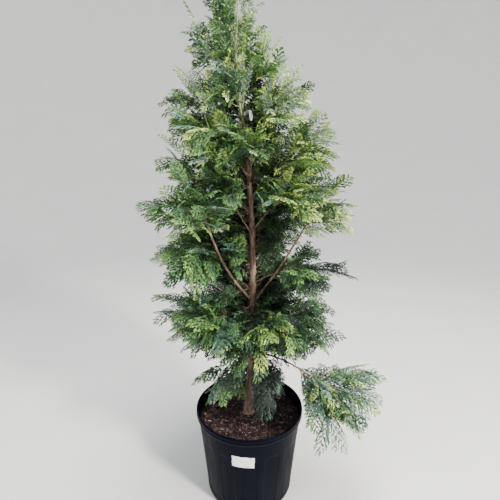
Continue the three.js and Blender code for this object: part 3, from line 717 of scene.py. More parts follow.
def branchlet(origin, side, length, rng):
    """A branchlet's leaflets and then its axis, each one's share along it, and its line."""
    angle = math.radians(BRANCHLET["angle"]) * rng.uniform(*BRANCHLET["play"])
    count = max(2, int(length / LEAFLET["spacing"]))

    def axis(u):
        forward = math.cos(angle) * u + BRANCHLET["curve"] * u * u
        aside = side * math.sin(angle) * u * (1 - BRANCHLET["curve"] * u)
        wave = BRANCHLET["wave"] * np.sin(u * BRANCHLET["wave_turn"])
        return origin + length * xyz(forward, aside, wave)

    def draw(low, high):
        return rng.uniform(low, high, 2 * count)

    hand = np.repeat([1, -1], count)
    u = np.tile((np.arange(count) + LEAFLET["first"]) / (count + LEAFLET["last"]), 2)
    u = u + draw(-LEAFLET["jitter"], LEAFLET["jitter"]) / count
    u = u + np.where(hand > 0, 0, LEAFLET["shift"] / count)
    slope = axis(u + 0.02) - axis(u)
    base = np.arctan2(slope[:, 1], slope[:, 0])
    turn = math.radians(LEAFLET["angle"]) * draw(*LEAFLET["angle_play"])
    size = leaflet_sizes(u, length) * draw(*LEAFLET["size_play"])
    width = LEAFLET["width"] * draw(*LEAFLET["width_play"])
    lift = draw(-0.5, 0.5) * LEAFLET["tilt"]
    tilt = draw(-1, 1) * LEAFLET["tilt"]
    line = axis(np.array(BRANCHLET["axis_ends"], float))
    leaflets = [
        leaflets_of(axis(u), base + hand * turn, size, width, lift, tilt),
        axis_leaflets(line, np.full(2, BRANCHLET["axis"])),
    ]
    return np.concatenate(leaflets), np.concatenate([u, BRANCHLET["axis_shares"]]), line


def spray_template(length, seed, wide):
    """A flat spray in its own space: a rib along X with a branchlet to either side in turn."""
    rng = np.random.RandomState(seed)
    count = 2 * max(2, round(length / BRANCHLET["spacing"]))
    leaflets, groups, tips, tests = [], [], [], []
    for k in range(count):
        share = (k + FROND["first"]) / (count + FROND["last"])
        swell = math.sin(math.pi * (BRANCHLET["swell"] + (1 - BRANCHLET["swell"]) * share))
        reach = length * wide / 2 * swell ** FROND["fullness"] * rng.uniform(*FROND["play"])
        size = max(FROND["least"], reach / math.sin(math.radians(BRANCHLET["angle"])))
        origin = np.array([length * share * FROND["set"], 0, 0])
        parts, shares, line = branchlet(origin, 1 if k % 2 else -1, size, rng)
        leaflets.append(parts)
        groups.append(2 * k + (shares > 0.5))
        place = shares * TIPS["outward"] + share * TIPS["forward"]
        tips.append(place + rng.uniform(-TIPS["play"], TIPS["play"]))
        tests.append(line[1:])
    steps = FROND["rib_steps"]
    rib = xyz(np.linspace(0, length, steps + 1), 0, 0)
    leaflets.append(axis_leaflets(rib, np.linspace(*FROND["rib"], steps)))
    groups.append(np.full(steps, 2 * count))
    tips.append(np.linspace(0, 0.9, steps))
    return {
        "length": length, "leaflets": np.concatenate(leaflets), "groups": np.concatenate(groups),
        "tips": np.concatenate(tips), "tests": np.concatenate(tests), "rib": rib[1:],
    }


def make_templates(wide):
    return [
        [spray_template(length, 100 * i + kind, wide) for kind in range(FROND["kinds"])]
        for i, length in enumerate(FROND_LENGTHS)
    ]


def place_spray(twig, limb, room, templates):
    """The leaflets of a twig's spray that have room, with which of them are tips, or None."""
    nearest = int(np.argmin([abs(length - twig["length"]) for length in FROND_LENGTHS]))
    template = templates[nearest][RNG.randint(FROND["kinds"])]
    full = twig["length"]
    for size in SIZES:
        twig["length"] = full * size
        scale = twig["length"] / template["length"]
        if room.clear(limb, set_in_place(twig, template["rib"] * scale)).all():
            break
    else:
        return None
    tests = room.clear(limb, set_in_place(twig, template["tests"] * scale)).reshape(-1, 2)
    tests[:, 1] &= tests[:, 0]
    kept = np.append(tests.ravel(), True)[template["groups"]]
    leaflets = set_in_place(twig, template["leaflets"][kept] * scale)
    return leaflets, template["tips"][kept] > RNG.uniform(*TIPS["limit"])


# Meshes

def add_piece(name, points, faces, materials, slot, replaced=(), indices=None, smooth=True):
    """A piece of the plant or pot: a mesh in metres that rides on the one body."""
    mesh = bpy.data.meshes.new(name)
    points = np.asarray(points, np.float32)
    faces = np.asarray(faces, np.int32)
    mesh.vertices.add(len(points))
    mesh.vertices.foreach_set("co", points.ravel())
    mesh.loops.add(faces.size)
    mesh.loops.foreach_set("vertex_index", faces.ravel())
    mesh.polygons.add(len(faces))
    mesh.polygons.foreach_set("loop_start", np.arange(0, faces.size, faces.shape[1], dtype=np.int32))
    for finish in materials:
        mesh.materials.append(finish)
    if indices is not None:
        mesh.polygons.foreach_set("material_index", np.asarray(indices, np.int32))
    mesh.update(calc_edges=True)
    mesh.validate()
    mesh.polygons.foreach_set("use_smooth", np.full(len(mesh.polygons), smooth))
    piece = bpy.data.objects.new(name, mesh)
    bpy.context.scene.collection.objects.link(piece)
    if slot:
        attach(piece, "root")
    if replaced:
        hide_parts(*replaced)
    return piece


class Joined:
    """Meshes that become one piece, each with the number of its material."""

    def __init__(self):
        self.points = []
        self.faces = []
        self.bands = []
        self.count = 0

    def add(self, points, faces, band=0):
        self.points.append(points)
        self.faces.append(faces + self.count)
        self.bands.append(np.full(len(faces), band))
        self.count += len(points)

    def piece(self, name, materials, slot, replaced=()):
        points, faces, bands = (np.concatenate(parts) for parts in (self.points, self.faces, self.bands))
        return add_piece(name, points * MM, faces, materials, slot, replaced, bands)


def ring_angles(count):
    return np.arange(count) * 2 * math.pi / count


def ring_quads(rows, columns):
    """The faces between rows of points, each of which closes on itself."""
    i, j = np.meshgrid(np.arange(rows - 1), np.arange(columns), indexing="ij")
    a = i * columns + j
    b = i * columns + (j + 1) % columns
    return np.stack([a, b, b + columns, a + columns], -1).reshape(-1, 4)


def halved(quads):
    return np.concatenate([quads[:, [0, 1, 2]], quads[:, [0, 2, 3]]])


def lid(ring, centre):
    """The faces from a ring of points to the one in its middle."""
    return np.stack([ring, np.roll(ring, -1), np.full(len(ring), centre)], -1)


def revolved(rows, angle):
    """A closed skin about the axis, from rows of a radius and a height, bottom to top."""
    count = len(angle)
    points = [xyz(radius * np.cos(angle), radius * np.sin(angle), height) for radius, height in rows]
    ring = np.arange(count)
    first = len(rows) * count
    lids = [lid(ring, first)[:, [1, 0, 2]], lid(ring + first - count, first + 1)]
    ends = np.array([[0, 0, rows[0][1]], [0, 0, rows[-1][1]]])
    return np.vstack([*points, ends]), np.concatenate([halved(ring_quads(len(rows), count)), *lids])


def frames_along(path, shares):
    """Points along a path, each with two directions across it that don't twist."""
    points = path.at(shares)
    along = path.along(shares)
    across = np.zeros_like(points)
    last = np.array([1.0, 0, 0]) if abs(along[0][0]) < 0.8 else UP
    for i, direction in enumerate(along):
        last = unit(last - direction * direction.dot(last))
        across[i] = last
    return points, across, np.cross(along, across)


def tube(path, radius, sides, step, relief=None, start=0.0):
    """A tube along a path, with its relief in millimetres from angle and run, and a closed end."""
    rings = max(3, int(path.length * (1 - start) / step))
    shares = np.linspace(start, 1, rings)
    points, across, other = frames_along(path, shares)
    angle = ring_angles(sides)
    reach = np.repeat(radius(shares)[:, None], sides, 1)
    if relief is not None:
        reach = reach + relief(angle[None], (shares * path.length)[:, None], points)
    ring = np.cos(angle)[None, :, None] * across[:, None] + np.sin(angle)[None, :, None] * other[:, None]
    vertices = (points[:, None] + ring * reach[..., None]).reshape(-1, 3)
    tip = points[-1] + (points[-1] - points[-2]) * 0.2
    cap = lid((rings - 1) * sides + np.arange(sides), len(vertices))
    return np.vstack([vertices, tip]), np.concatenate([halved(ring_quads(rings, sides)), cap])


def slab(outer, inner):
    """A closed thin body between two grids of points, the outer of which faces outwards."""
    rows, columns = outer.shape[:2]
    total = rows * columns
    grid = np.arange(total).reshape(rows, columns)
    a = grid[:-1, :-1].ravel()
    quads = np.stack([a, a + 1, a + columns + 1, a + columns], -1)
    rim = np.concatenate([grid[0], grid[1:, -1], grid[-1, -2::-1], grid[-2:0:-1, 0]])
    after = np.roll(rim, -1)
    edge = np.stack([after, rim, rim + total, after + total], -1)
    points = np.vstack([outer.reshape(-1, 3), inner.reshape(-1, 3)])
    return points, np.concatenate([quads, quads[:, ::-1] + total, edge])


# Materials

class Finish:
    """A procedural material: a base shader with mottled colour, uneven gloss and a fine relief."""

    def __init__(self, name, roughness, specular):
        self.material = bpy.data.materials.new(name)
        self.material.use_nodes = True
        self.tree = self.material.node_tree
        self.shader = self.tree.nodes["Principled BSDF"].inputs
        self.shader["Roughness"].default_value = roughness
        self.shader["Specular IOR Level"].default_value = specular
        self.place = self.node("ShaderNodeTexCoord").outputs["Object"]
        self.normal = None

    def node(self, kind, links=(), **values):
        """A new node, with some inputs linked from sockets and others set to values."""
        node = self.tree.nodes.new(kind)
        for name, socket in dict(links).items():
            self.tree.links.new(socket, node.inputs[name])
        for name, value in values.items():
            node.inputs[name].default_value = value
        return node

    def noise(self, scale, detail, stretch=(1, 1, 1), roughness=0.55):
        mapping = self.node("ShaderNodeMapping", {"Vector": self.place}, Scale=stretch)
        links = {"Vector": mapping.outputs["Vector"]}
        texture = self.node("ShaderNodeTexNoise", links, Scale=scale, Detail=detail, Roughness=roughness)
        return texture.outputs["Fac"]

    def ramp(self, factor, stops):
        """Colours or grey levels over a factor, from (position, colour) stops."""
        ramp = self.node("ShaderNodeValToRGB", {"Fac": factor})
        elements = ramp.color_ramp.elements
        while len(elements) < len(stops):
            elements.new(0.5)
        for element, (position, colour) in zip(elements, stops):
            element.position = position
            element.color = (*np.broadcast_to(colour, 3), 1)
        return ramp.outputs["Color"]

    def colour(self, factor, stops):
        self.tree.links.new(self.ramp(factor, stops), self.shader["Base Color"])

    def overlay(self, factor, stops, tint):
        """Lays a tint over the colour so far, as strongly as the stops say."""
        below = self.shader["Base Color"].links[0].from_socket
        mix = self.node("ShaderNodeMix", {"Factor": self.ramp(factor, stops)})
        mix.data_type = "RGBA"
        self.tree.links.new(below, mix.inputs[6])
        mix.inputs[7].default_value = (*tint, 1)
        self.tree.links.new(mix.outputs[2], self.shader["Base Color"])

    def gloss(self, factor, low, high):
        self.tree.links.new(self.ramp(factor, [(0.3, low), (0.7, high)]), self.shader["Roughness"])

    def relief(self, factor, height, strength):
        """Adds a bump of a height in metres."""
        links = {"Height": factor, **({"Normal": self.normal} if self.normal else {})}
        self.normal = self.node("ShaderNodeBump", links, Distance=height, Strength=strength).outputs["Normal"]
        self.tree.links.new(self.normal, self.shader["Normal"])


def shade(colour, *shares):
    """A colour made darker or lighter, by one share or by one for each channel."""
    return tuple(min(channel * share, 0.9) for channel, share in zip(colour, shares * 3))


def leaf_finish(name, colour):
    finish = Finish("leaf_" + name, 0.5, 0.45)
    warm = shade(colour, 1.5, 1.25, 0.95)
    finish.colour(finish.noise(38, 4), [(0.3, shade(colour, 0.75)), (0.55, colour), (0.75, warm)])
    # Painted shade and painted highlight: leaflet-sized patches made darker and lighter, standing in for the
    # sunlight and shadow that fall on each leaflet
    small = finish.noise(130, 2)
    finish.overlay(small, [(0.52, 0.0), (0.62, 0.65)], shade(colour, 0.35))
    finish.overlay(small, [(0.38, 0.6), (0.48, 0.0)], shade(colour, 1.7))
    finish.gloss(finish.noise(120, 2), 0.42, 0.66)
    finish.relief(finish.noise(700, 2), 0.0006, 0.5)
    return finish.material


def bark_finish(name, dark, middle, light):
    """Fibrous bark: long streaks that run up the limb, with grey weathered patches."""
    finish = Finish(name, 0.85, 0.25)
    streaks = finish.noise(210, 5, (1, 1, 0.12), 0.65)
    finish.colour(streaks, [(0.32, dark), (0.5, middle), (0.7, light)])
    finish.overlay(finish.noise(26, 3), [(0.52, 0.0), (0.75, 0.55)], light)
    finish.gloss(finish.noise(90, 2), 0.72, 0.95)
    finish.relief(streaks, 0.0016, 0.8)
    finish.relief(finish.noise(900, 3), 0.0004, 0.5)
    return finish.material


def pot_finish():
    """Satin black plastic with faint scuffs that run up the wall, and dust."""
    finish = Finish("black_plastic", 0.42, 0.05)
    finish.shader["Specular Tint"].default_value = (0.45, 0.55, 1, 1)
    scuffs = finish.noise(60, 4, (1, 1, 0.07), 0.7)
    finish.colour(finish.noise(9, 4), [(0.3, (0.0014, 0.0016, 0.0038)), (0.7, (0.0024, 0.0027, 0.006))])
    finish.overlay(scuffs, [(0.6, 0.0), (0.8, 0.3)], (0.01, 0.0105, 0.016))
    finish.overlay(finish.noise(6, 5), [(0.58, 0.0), (0.8, 0.25)], (0.009, 0.009, 0.013))
    finish.gloss(scuffs, 0.34, 0.58)
    finish.relief(scuffs, 0.0003, 0.4)
    finish.relief(finish.noise(900, 2), 0.00015, 0.5)
    return finish.material


def soil_finish(name, dark, light, scale=60):
    finish = Finish(name, 0.9, 0.2)
    finish.colour(finish.noise(scale, 4), [(0.3, dark), (0.7, light)])
    finish.gloss(finish.noise(150, 2), 0.75, 0.98)
    finish.relief(finish.noise(500, 4), 0.0012, 0.9)
    return finish.material


def paper_finish(name, light, dark, roughness):
    finish = Finish(name, roughness, 0.35)
    finish.colour(finish.noise(30, 4), [(0.35, dark), (0.6, light)])
    finish.gloss(finish.noise(80, 2), roughness - 0.08, roughness + 0.1)
    finish.relief(finish.noise(45, 2), 0.0006, 0.5)
    finish.relief(finish.noise(1500, 2), 0.0001, 0.4)
    return finish.material


# Limbs

def bark_relief(depth, seed, collars=()):
    """Fibre ridges that wander as they run, and a swelling at each collar (point, size)."""
    rng = np.random.RandomState(seed)
    ridges = BARK["ridges"]
    phases = rng.uniform(0, 2 * math.pi, (len(ridges), 3))
    pace = rng.uniform(*BARK["pace"], len(ridges))

    def relief(angle, run, points):
        total = 0
        for ridge, (a, b, c), length in zip(ridges, phases, pace):
            wander = BARK["wander"] * np.sin(run / length + b)
            wander = wander + BARK["quiver"] * np.sin(run / (length * BARK["quick"]) + c)
            total = total + (1 - 2 * np.abs(np.sin(ridge * angle / 2 + a + wander))) / ridge**0.5
        swell = BARK["swell"] * np.sin(run / BARK["swell_pace"] + phases[0, 0])
        total = total * depth * (BARK["mean"] + swell)
        for centre, size in collars:
            away = np.linalg.norm(points - centre, axis=1)[:, None]
            fall = np.exp(-((away / (size * BARK["collar_reach"])) ** 2))
            total = total + BARK["collar"] * size * fall
        return total

    return relief


def tapered(thick, thin, flare=0, length=1):
    """The radius along a limb, wider just where it leaves another."""
    return lambda shares: thick + (thin - thick) * shares + flare * np.exp(-shares * length / FLARE["run"])


def add_trunk(limbs, barks):
    """The trunk, with collars where limbs leave it. Its bark turns greener towards the leader."""
    collars = [(trunk_point(limb["foot"]), max(3, limb["radius"])) for limb in limbs]
    start = (SOIL_LEVEL - SUNK["trunk"] - TRUNK_LOW) / TRUNK_PATH.length
    bark = bark_relief(RELIEF["trunk"], 11, collars)

    def radius(shares):
        return trunk_radius(TRUNK_PATH.at(shares)[:, 2])

    def relief(angle, run, points):
        fade = radius(run[:, 0] / TRUNK_PATH.length) / BARK["full_radius"]
        return bark(angle, run, points) * np.clip(fade, BARK["least"], 1)[:, None]

    vertices, faces = tube(TRUNK_PATH, radius, *TUBES["trunk"], relief, start)
    play = RNG.uniform(-BANDS["play"], BANDS["play"], len(faces))
    bands = np.digitize(vertices[faces].mean(1)[:, 2] + play, BANDS["trunk"])
    add_piece("trunk_bark", vertices * MM, faces, barks, "bark", ["trunk"], bands)


def add_boughs(limbs, barks):
    joined = Joined()
    boughs = {limb["name"]: limb for limb in limbs if limb["length"]}
    for name, limb in boughs.items():
        base, path = limb["radius"], limb["bough"]
        radius = tapered(base, base * LIMB["tip_share"], base * FLARE["share"], path.length)
        relief = bark_relief(RELIEF["bough"], limb["index"])
        skin = tube(path, radius, *TUBES["bough"], relief, SUNK["limb"])
        # Sunlit boughs take the lighter young bark, painted sunlight
        joined.add(*skin, name in SUNLIT_BOUGHS)
    for name, share, aside, rise, length in BARE_TWIGS:
        path = boughs[name]["bough"]
        azimuth = azimuth_of(path.along(share)) + aside
        twig = bent(path.at(share), azimuth, length, rise + BARE["bend"], rise - BARE["bend"])
        joined.add(*tube(twig, tapered(BARE["thick"], BARE["thin"]), *TUBES["bare"]), 1)
    joined.piece("bough_bark", barks[:2], "bark", ["bough_" + name for name in boughs])


# Foliage

def roomier(limb):
    """The mass with more room around it, inside the plant's own box."""
    whole = in_mm(CAD_BOX)
    low, high = limb["box"]
    box = [np.maximum(low - WHIPS["beyond"], whole[0]), np.minimum(high + WHIPS["beyond"], whole[1])]
    return {**limb, "box": box, "index": None}


def grow_foliage(limbs):
    """Every spray that has room: its limb, its twig, its leaflets and which of them are tips."""
    room = Room(limbs)
    templates = {False: make_templates(FROND["width"]), True: make_templates(WHIPS["width"])}
    twigs = []
    for limb in limbs:
        twigs += [(limb, twig) for twig in [*grow_twigs(limb), *filling_twigs(limb), *whips(limb)]]
    trunk = {"index": None, "box": in_mm(CAD_BOX), "trim": 1, "mix": "inner"}
    twigs += [(trunk, twig) for twig in trunk_shoots()]
    sprays = []
    for limb, twig in twigs:
        twig["length"] *= limb["trim"]
        slim = "slim" in twig
        grown = place_spray(twig, roomier(limb) if slim else limb, room, templates[slim])
        if grown is None:
            continue
        sprays.append((limb, twig, *grown))
        for finer in () if slim else finer_twigs(twig):
            finer["mix"] = twig.get("mix", limb["mix"])
            grown = place_spray(finer, limb, room, templates[False])
            if grown is not None:
                sprays.append((limb, finer, *grown))
    return sprays


def deal_greens(mix):
    """The greens of a spray's body and of its tips, from a mix."""
    body, tips, _ = mix[RNG.choice(len(mix), p=[share for _, _, share in mix])]
    return body, tips


def add_leaves(sprays, replaced):
    """All leaflets, joined by their green into pieces of a limited size."""
    heaps = {name: [] for name in GREENS}
    for limb, twig, leaflets, tips in sprays:
        body, tip = deal_greens(MIXES[twig.get("mix", limb["mix"])])
        heaps[body].append(leaflets[~tips])
        heaps[tip].append(leaflets[tips])
    for name, heap in heaps.items():
        leaflets = np.concatenate(heap)
        finish = leaf_finish(name, GREENS[name])
        for part, start in enumerate(range(0, len(leaflets), PIECE_LEAFLETS)):
            chunk = leaflets[start:start + PIECE_LEAFLETS]
            faces = (LEAFLET_FACES + LEAFLET_POINTS * np.arange(len(chunk))[:, None, None]).reshape(-1, 3)
            points = chunk.reshape(-1, 3) * MM
            piece_name = f"leaves_{name}_{part + 1}"
            add_piece(piece_name, points, faces, [finish], "foliage", replaced, smooth=False)


def add_stems(limbs, sprays, barks):
    """The stems of the masses and the stalks of their twigs."""
    joined = Joined()
    for limb in limbs:
        stem, radius = limb["stem"], tapered(limb["stem_radius"], LIMB["stem_tip"])
        band = np.digitize(stem.at(0.5)[2], BANDS["stem"])
        relief = bark_relief(RELIEF["stem"], limb["index"] + 50)
        joined.add(*tube(stem, radius, *TUBES["stem"], relief, SUNK["limb"]), band)
    for _, twig, _, _ in sprays:
        slim = "slim" in twig
        rib = set_in_place(twig, np.array([twig["length"] * STALK["into_spray"], 0, 0]))
        share = min(1, STALK["least"] + twig["length"] / STALK["full_length"])
        thick = WHIPS["radius"] if slim else TWIG["radius"] * share
        path = Path(np.stack([twig["at"], twig["root"], rib]))
        band = 1 if twig["at"][2] < GREEN_TWIGS and not slim else 2
        joined.add(*tube(path, tapered(thick, thick * STALK["thin"]), *TUBES["stalk"]), band)
    joined.piece("stems_and_twigs", barks, "bark")


def add_plant():
    limbs = [lay_limb(index, row) for index, row in enumerate(LIMBS)]
    barks = [
        bark_finish("bark_old", (0.055, 0.036, 0.027), (0.19, 0.125, 0.09), (0.35, 0.27, 0.21)),
        bark_finish("bark_young_and_sunlit", (0.08, 0.058, 0.036), (0.21, 0.155, 0.1), (0.34, 0.28, 0.2)),
        bark_finish("bark_green", (0.14, 0.18, 0.06), (0.3, 0.37, 0.16), (0.46, 0.52, 0.3)),
    ]
    add_trunk(limbs, barks)
    add_boughs(limbs, barks)
    sprays = grow_foliage(limbs)
    add_stems(limbs, sprays, barks)
    add_leaves(sprays, ["foliage_" + limb["name"] for limb in limbs])


# Pot, soil, label and tag

def wall_radius(height):
    return POT["foot"] + (POT["shoulder"] - POT["foot"]) * height / POT["wall_height"]


def panel_recess(height, angle):
    """How far the wall is set back: rounded panels with soft edges, between plain ribs."""
    pitch = 2 * math.pi * wall_radius(height) / POT["panels"]
    share = (angle * POT["panels"] / (2 * math.pi)) % 1 - 0.5
    half_height = (POT["panel_high"] - POT["panel_low"]) / 2
    up = abs(height - POT["panel_low"] - half_height) - half_height + POT["corner"]
    across = np.abs(share * pitch) - pitch * POT["panel_share"] / 2 + POT["corner"]
    past_corner = np.hypot(np.maximum(across, 0), max(up, 0))
    outside = past_corner + np.minimum(np.maximum(across, up), 0) - POT["corner"]
    rise = np.clip(-outside / POT["edge"], 0, 1)
    return POT["recess"] * rise * rise * (3 - 2 * rise)


def pot_angles():
    """Columns that lie closest together at the sides of the panels."""
    edge = POT["panel_share"] / 2
    shares = np.array([*PANEL_COLUMNS, *(edge + offset for offset in PANEL_EDGE_COLUMNS)])
    shares = np.concatenate([-shares[:0:-1], shares, [0.5]])
    return np.concatenate([k + 0.5 + shares for k in range(POT["panels"])]) * 2 * math.pi / POT["panels"]


def pot_rows(angle):
    """The pot's section from under its floor, up the wall, over the rim and down inside."""
    foot, fillet, floor = POT["foot"], POT["fillet"], POT["floor"]
    rows = [(foot * share, 0) for share in UNDERSIDE_RINGS]
    rows += [(foot - fillet * inside, fillet * up) for inside, up in FOOT_SECTION]
    low, high = POT["panel_low"], POT["panel_high"]
    heights = [fillet, 12, low - 3, *np.linspace(low, low + 6, 5), *np.linspace(low + 10, high - 10, 34)]
    heights += [*np.linspace(high - 6, high, 5), high + 3, *np.linspace(high + 10, POT["wall_height"] - 8, 6)]
    rows += [(wall_radius(height) - panel_recess(height, angle), height) for height in heights]
    rows += [(RIM_RADIUS - inside, height) for inside, height in RIM_SECTION]
    inner = [*np.linspace(RIM_SECTION[-1][1] - 6, floor + 8, 8), floor + 2.5]
    rows += [(wall_radius(height) - POT["wall"], height) for height in inner]
    return rows + [(foot - fillet * 1.5, floor), (foot * UNDERSIDE_RINGS[0], floor)]


def add_pot():
    angle = pot_angles()
    points, faces = revolved(pot_rows(angle), angle)
    pot = add_piece("pot_body", points * MM, faces, [pot_finish()], "pot", ["pot"])
    cut_drains(pot)


def cut_drains(pot):
    """Round holes low in the wall."""
    joined = Joined()
    half = DRAINS["depth"] / 2
    ends = [(DRAINS["radius"], -half), (DRAINS["radius"], half)]
    drill, faces = revolved(ends, ring_angles(DRAINS["sides"]))
    for k in range(DRAINS["count"]):
        out = heading(360 / DRAINS["count"] * (k + 0.5), 0)
        axes = np.stack([np.cross(UP, out), UP, out])
        joined.add(out * POT["foot"] + UP * DRAINS["height"] + drill @ axes, faces)
    cutter = joined.piece("drain_cutter", [], None)
    cut = pot.modifiers.new("drains", "BOOLEAN")
    cut.object = cutter
    cut.solver = "EXACT"
    bpy.context.view_layer.update()
    mesh = bpy.data.meshes.new_from_object(pot.evaluated_get(bpy.context.evaluated_depsgraph_get()))
    pot.modifiers.clear()
    pot.data = mesh
    mesh.set_sharp_from_angle(angle=math.radians(50))
    bpy.data.objects.remove(cutter)


def soil_height(x, y):
    """How high the potting mix lies: soft swells, finer lumps and a dip at the pot's wall."""
    rng = np.random.RandomState(31)
    height = np.full(np.shape(x), SOIL_LEVEL - 1.0)
    for length in SWELLS["lengths"]:
        way = rng.uniform(0, 2 * math.pi)
        run = (x * math.cos(way) + y * math.sin(way)) * 2 * math.pi / length
        wave = SWELLS["height"] * length ** SWELLS["power"] * np.sin(run + rng.uniform(0, 6))
        height = height + wave * np.cos(0.6 * run + rng.uniform(0, 6))
    return height - SWELLS["dip"] * (np.hypot(x, y) / wall_radius(SOIL_LEVEL)) ** 6


def add_soil():
    """The potting mix up to its uneven top, and the chips of bark that lie on it."""
    inset = POT["wall"] + SOIL["gap"]
    sides = [POT["floor"] + CLEARANCE, 90, 180, SOIL_LEVEL - 12]
    rows = [(wall_radius(height) - inset, height) for height in sides]
    edge = wall_radius(SOIL_LEVEL) - inset
    rows += [(radius, SOIL_LEVEL) for radius in np.linspace(edge, SOIL["middle"], SOIL["rings"])]
    points, faces = revolved(rows, ring_angles(SOIL["columns"]))
    top = points[:, 2] > SOIL_LEVEL - 1
    points[top, 2] = soil_height(points[top, 0], points[top, 1])
    finishes = [
        soil_finish("mix_dark", (0.008, 0.0055, 0.006), (0.032, 0.021, 0.02)),
        soil_finish("mix_brown", (0.04, 0.021, 0.022), (0.13, 0.072, 0.07)),
        soil_finish("mix_pale", (0.12, 0.085, 0.075), (0.32, 0.25, 0.22), 220),
    ]
    add_piece("soil_body", points * MM, faces, finishes[:1], "soil", ["soil"])
    add_chips(finishes)


def slivers(centre, along, aside, up):
    """Bent slivers of four corners at each station, from where they lie and their half sizes."""
    points = [
        centre + along * run + aside * (half * side + bend) + up * level
        for run, half, bend in CHIP_STATIONS
        for side, level in ((-1, -1), (1, -1), (1, 1), (-1, 1))
    ]
    quads = np.array([[3, 2, 1, 0], [12, 13, 14, 15], *ring_quads(4, 4)])
    faces = quads + len(points) * np.arange(len(centre))[:, None, None]
    return np.stack(points, 1).reshape(-1, 3), faces.reshape(-1, 4)


def add_chips(finishes):
    """Slivers of bark, dealt three shades, that lie as they fell."""
    rng = np.random.RandomState(5)
    count = CHIPS["count"]
    reach = np.sqrt(rng.uniform(*CHIPS["spread"], count)) * (wall_radius(SOIL_LEVEL) - CHIPS["margin"])
    way = rng.uniform(0, 2 * math.pi, count)
    x, y = reach * np.cos(way), reach * np.sin(way)
    length = rng.uniform(*CHIPS["length"], count)
    width = length * CHIPS["width"] * rng.uniform(*CHIPS["width_play"], count)
    width = np.clip(width, *CHIPS["width_range"])
    thick = CHIPS["thickness"] * rng.uniform(*CHIPS["thickness_play"], count)
    centre = xyz(x, y, soil_height(x, y) + thick * CHIPS["lie"] + rng.uniform(*CHIPS["heap"], count))
    turn = rng.uniform(0, 2 * math.pi, count)
    pitch, roll = np.tan(np.radians(rng.uniform(-1, 1, (2, count)) * CHIPS["tilt"]))
    along = xyz(np.cos(turn), np.sin(turn), pitch * CHIPS["pitch"]) * length[:, None] / 2
    aside = xyz(-np.sin(turn), np.cos(turn), roll) * width[:, None] / 2
    up = UP * thick[:, None] / 2
    points, faces = slivers(centre, along, aside, up)
    shades = np.repeat(rng.choice(3, count, p=CHIPS["shades"]), len(faces) // count)
    add_piece("bark_chips", points * MM, faces, finishes, "soil", indices=shades, smooth=False)


def uneven(run, other, side):
    """How far from the sticker's middle its points lie along one side, uneven along the other."""
    stretch, pace, shift, shift_pace = LABEL_EDGES[side]
    return run * LABEL[side] * (1 + stretch * np.sin(other * pace)) + shift * np.sin(other * shift_pace)


def add_label():
    """The blank sticker, a little uneven at its edges and not quite flat on the wall."""
    u, v = np.meshgrid(*(np.linspace(-0.5, 0.5, LABEL[side]) for side in ("columns", "rows")))
    x, y = uneven(u, v, "width"), uneven(v, u, "height")
    tilt = math.radians(LABEL["tilt"])
    across = x * math.cos(tilt) - y * math.sin(tilt)
    lean = math.atan2(POT["shoulder"] - POT["foot"], POT["wall_height"])
    height = LABEL["centre"] + (x * math.sin(tilt) + y * math.cos(tilt)) * math.cos(lean)
    azimuth = math.radians(LABEL["azimuth"]) + across / wall_radius(LABEL["centre"])
    bubbles = LABEL["bubbles"] * (1 + np.sin(u * 14 + 2 * v) * np.cos(v * 9 - u * 4))
    curl = 0
    for side, start, lift in LABEL_CORNERS:
        curl = curl + lift * np.clip(side * u + v - start, 0, 1) * CORNER_SLOPE
    out = wall_radius(height) + CLEARANCE + LABEL["thickness"] + bubbles + curl
    points, faces = slab(*(
        xyz(radius * np.cos(azimuth), radius * np.sin(azimuth), height)
        for radius in (out, out - LABEL["thickness"])
    ))
    finish = paper_finish("sticker", (0.9, 0.91, 0.96), (0.8, 0.81, 0.88), 0.5)
    add_piece("label_sheet", points * MM, faces, [finish], "label", ["label"])


def add_tag():
    """The blank strap: it lies edge up round the trunk and turns flat where its end hangs over."""
    path = strap_path()
    shares = np.linspace(0, 1, TAG["columns"])
    middle, along = path.at(shares), path.along(shares)
    aside = heading(TAG["azimuth"] + 90, 0)
    run = shares * path.length - path.length * TAG["turn_from"]
    turn = np.clip(run / TAG["turn_run"], 0, 1)[:, None] * math.pi / 2
    wide = np.cos(turn) * UP + np.sin(turn) * aside
    wide = unit(wide - along * (wide * along).sum(-1, keepdims=True))
    thick = np.cross(along, wide) * TAG["thickness"] / 2
    to_end = np.minimum(shares, 1 - shares)
    full = np.minimum(1, TAG["end_width"] + TAG["end_taper"] * to_end)
    half = TAG["width"] / 2 * full[:, None]
    line = np.stack([middle + wide * half * step for step in np.linspace(-1, 1, TAG["rows"])], 1)
    points, faces = slab(line - thick[:, None], line + thick[:, None])
    finish = paper_finish("strap", (0.86, 0.9, 0.95), (0.74, 0.79, 0.86), 0.42)
    add_piece("tag_strap", points * MM, faces, [finish], "tag", ["tag"])


# Studio

def set_up(data, place, turn):
    """A camera or a light in its place."""
    thing = bpy.data.objects.new(data.name, data)
    thing.location = place
    thing.rotation_euler = turn
    bpy.context.scene.collection.objects.link(thing)
    return thing


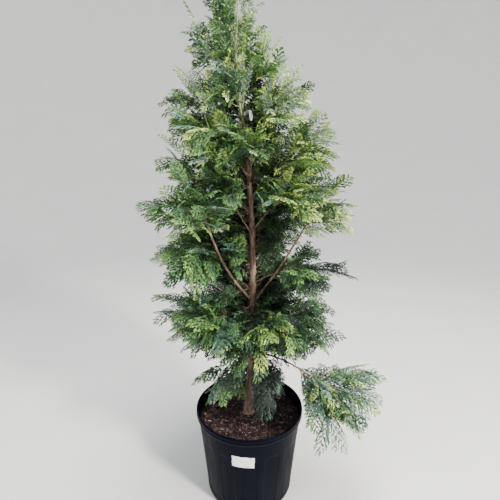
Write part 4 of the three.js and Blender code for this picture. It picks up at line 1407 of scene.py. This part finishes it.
def add_camera():
    data = bpy.data.cameras.new("camera")
    data.sensor_width = CAMERA["sensor"]
    data.lens = CAMERA["sensor"] * CAMERA["focal"] / CAMERA["frame"]
    turn = (math.radians(90 - CAMERA["pitch"]), 0, 0)
    bpy.context.scene.camera = set_up(data, CAMERA["place"], turn)


def add_light(name, place, target, size, energy, colour):
    data = bpy.data.lights.new(name, "AREA")
    data.shape = "DISK"
    data.size = size
    data.energy = energy
    data.color = colour
    way = np.array(target) - np.array(place)
    set_up(data, place, Vector(way).to_track_quat("-Z", "Y").to_euler())


def add_floor():
    """A plain pale floor that bends up into a wall all round."""
    finish = Finish("floor", 0.8, 0.2)
    finish.colour(finish.noise(3, 3), [(0.3, (0.77, 0.76, 0.74)), (0.7, (0.8, 0.79, 0.77))])
    flat, bend = FLOOR["flat"], FLOOR["bend"]
    turn = np.linspace(0, math.pi / 2, FLOOR["bend_steps"])
    radius = np.concatenate([[0.001], flat + bend * np.sin(turn), [flat + bend]])[:, None]
    height = np.concatenate([[0], bend * (1 - np.cos(turn)), [FLOOR["wall"]]])[:, None]
    angle = ring_angles(FLOOR["columns"])
    points = xyz(radius * np.cos(angle), radius * np.sin(angle), height).reshape(-1, 3)
    faces = ring_quads(len(radius), FLOOR["columns"])[:, [0, 3, 2, 1]]
    floor = add_piece("floor", points, faces, [finish.material], None)
    floor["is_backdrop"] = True


def add_studio():
    """The floor, a soft sky, and light from above and from both sides of the camera."""
    add_floor()
    world = bpy.data.worlds.new("studio")
    world.use_nodes = True
    sky = world.node_tree.nodes["Background"].inputs
    sky["Color"].default_value = (0.86, 0.93, 1, 1)
    sky["Strength"].default_value = 1.0
    bpy.context.scene.world = world
    middle = (0, 0, 0.8)
    add_light("overhead", (0.3, -0.2, 3.4), middle, 1.4, 120, (1, 0.98, 0.94))
    add_light("key", (2.0, -2.0, 2.6), middle, 0.5, 230, (1, 0.96, 0.88))
    add_light("fill", (-2.4, -1.6, 1.6), middle, 1.6, 22, (0.92, 0.96, 1))


add_camera()
add_studio()
add_pot()
add_soil()
add_label()
add_tag()
add_plant()
boxes = {"cad": CAD_BOX, "visual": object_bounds()}
{name: [list(corner) for corner in box] for name, box in boxes.items()}
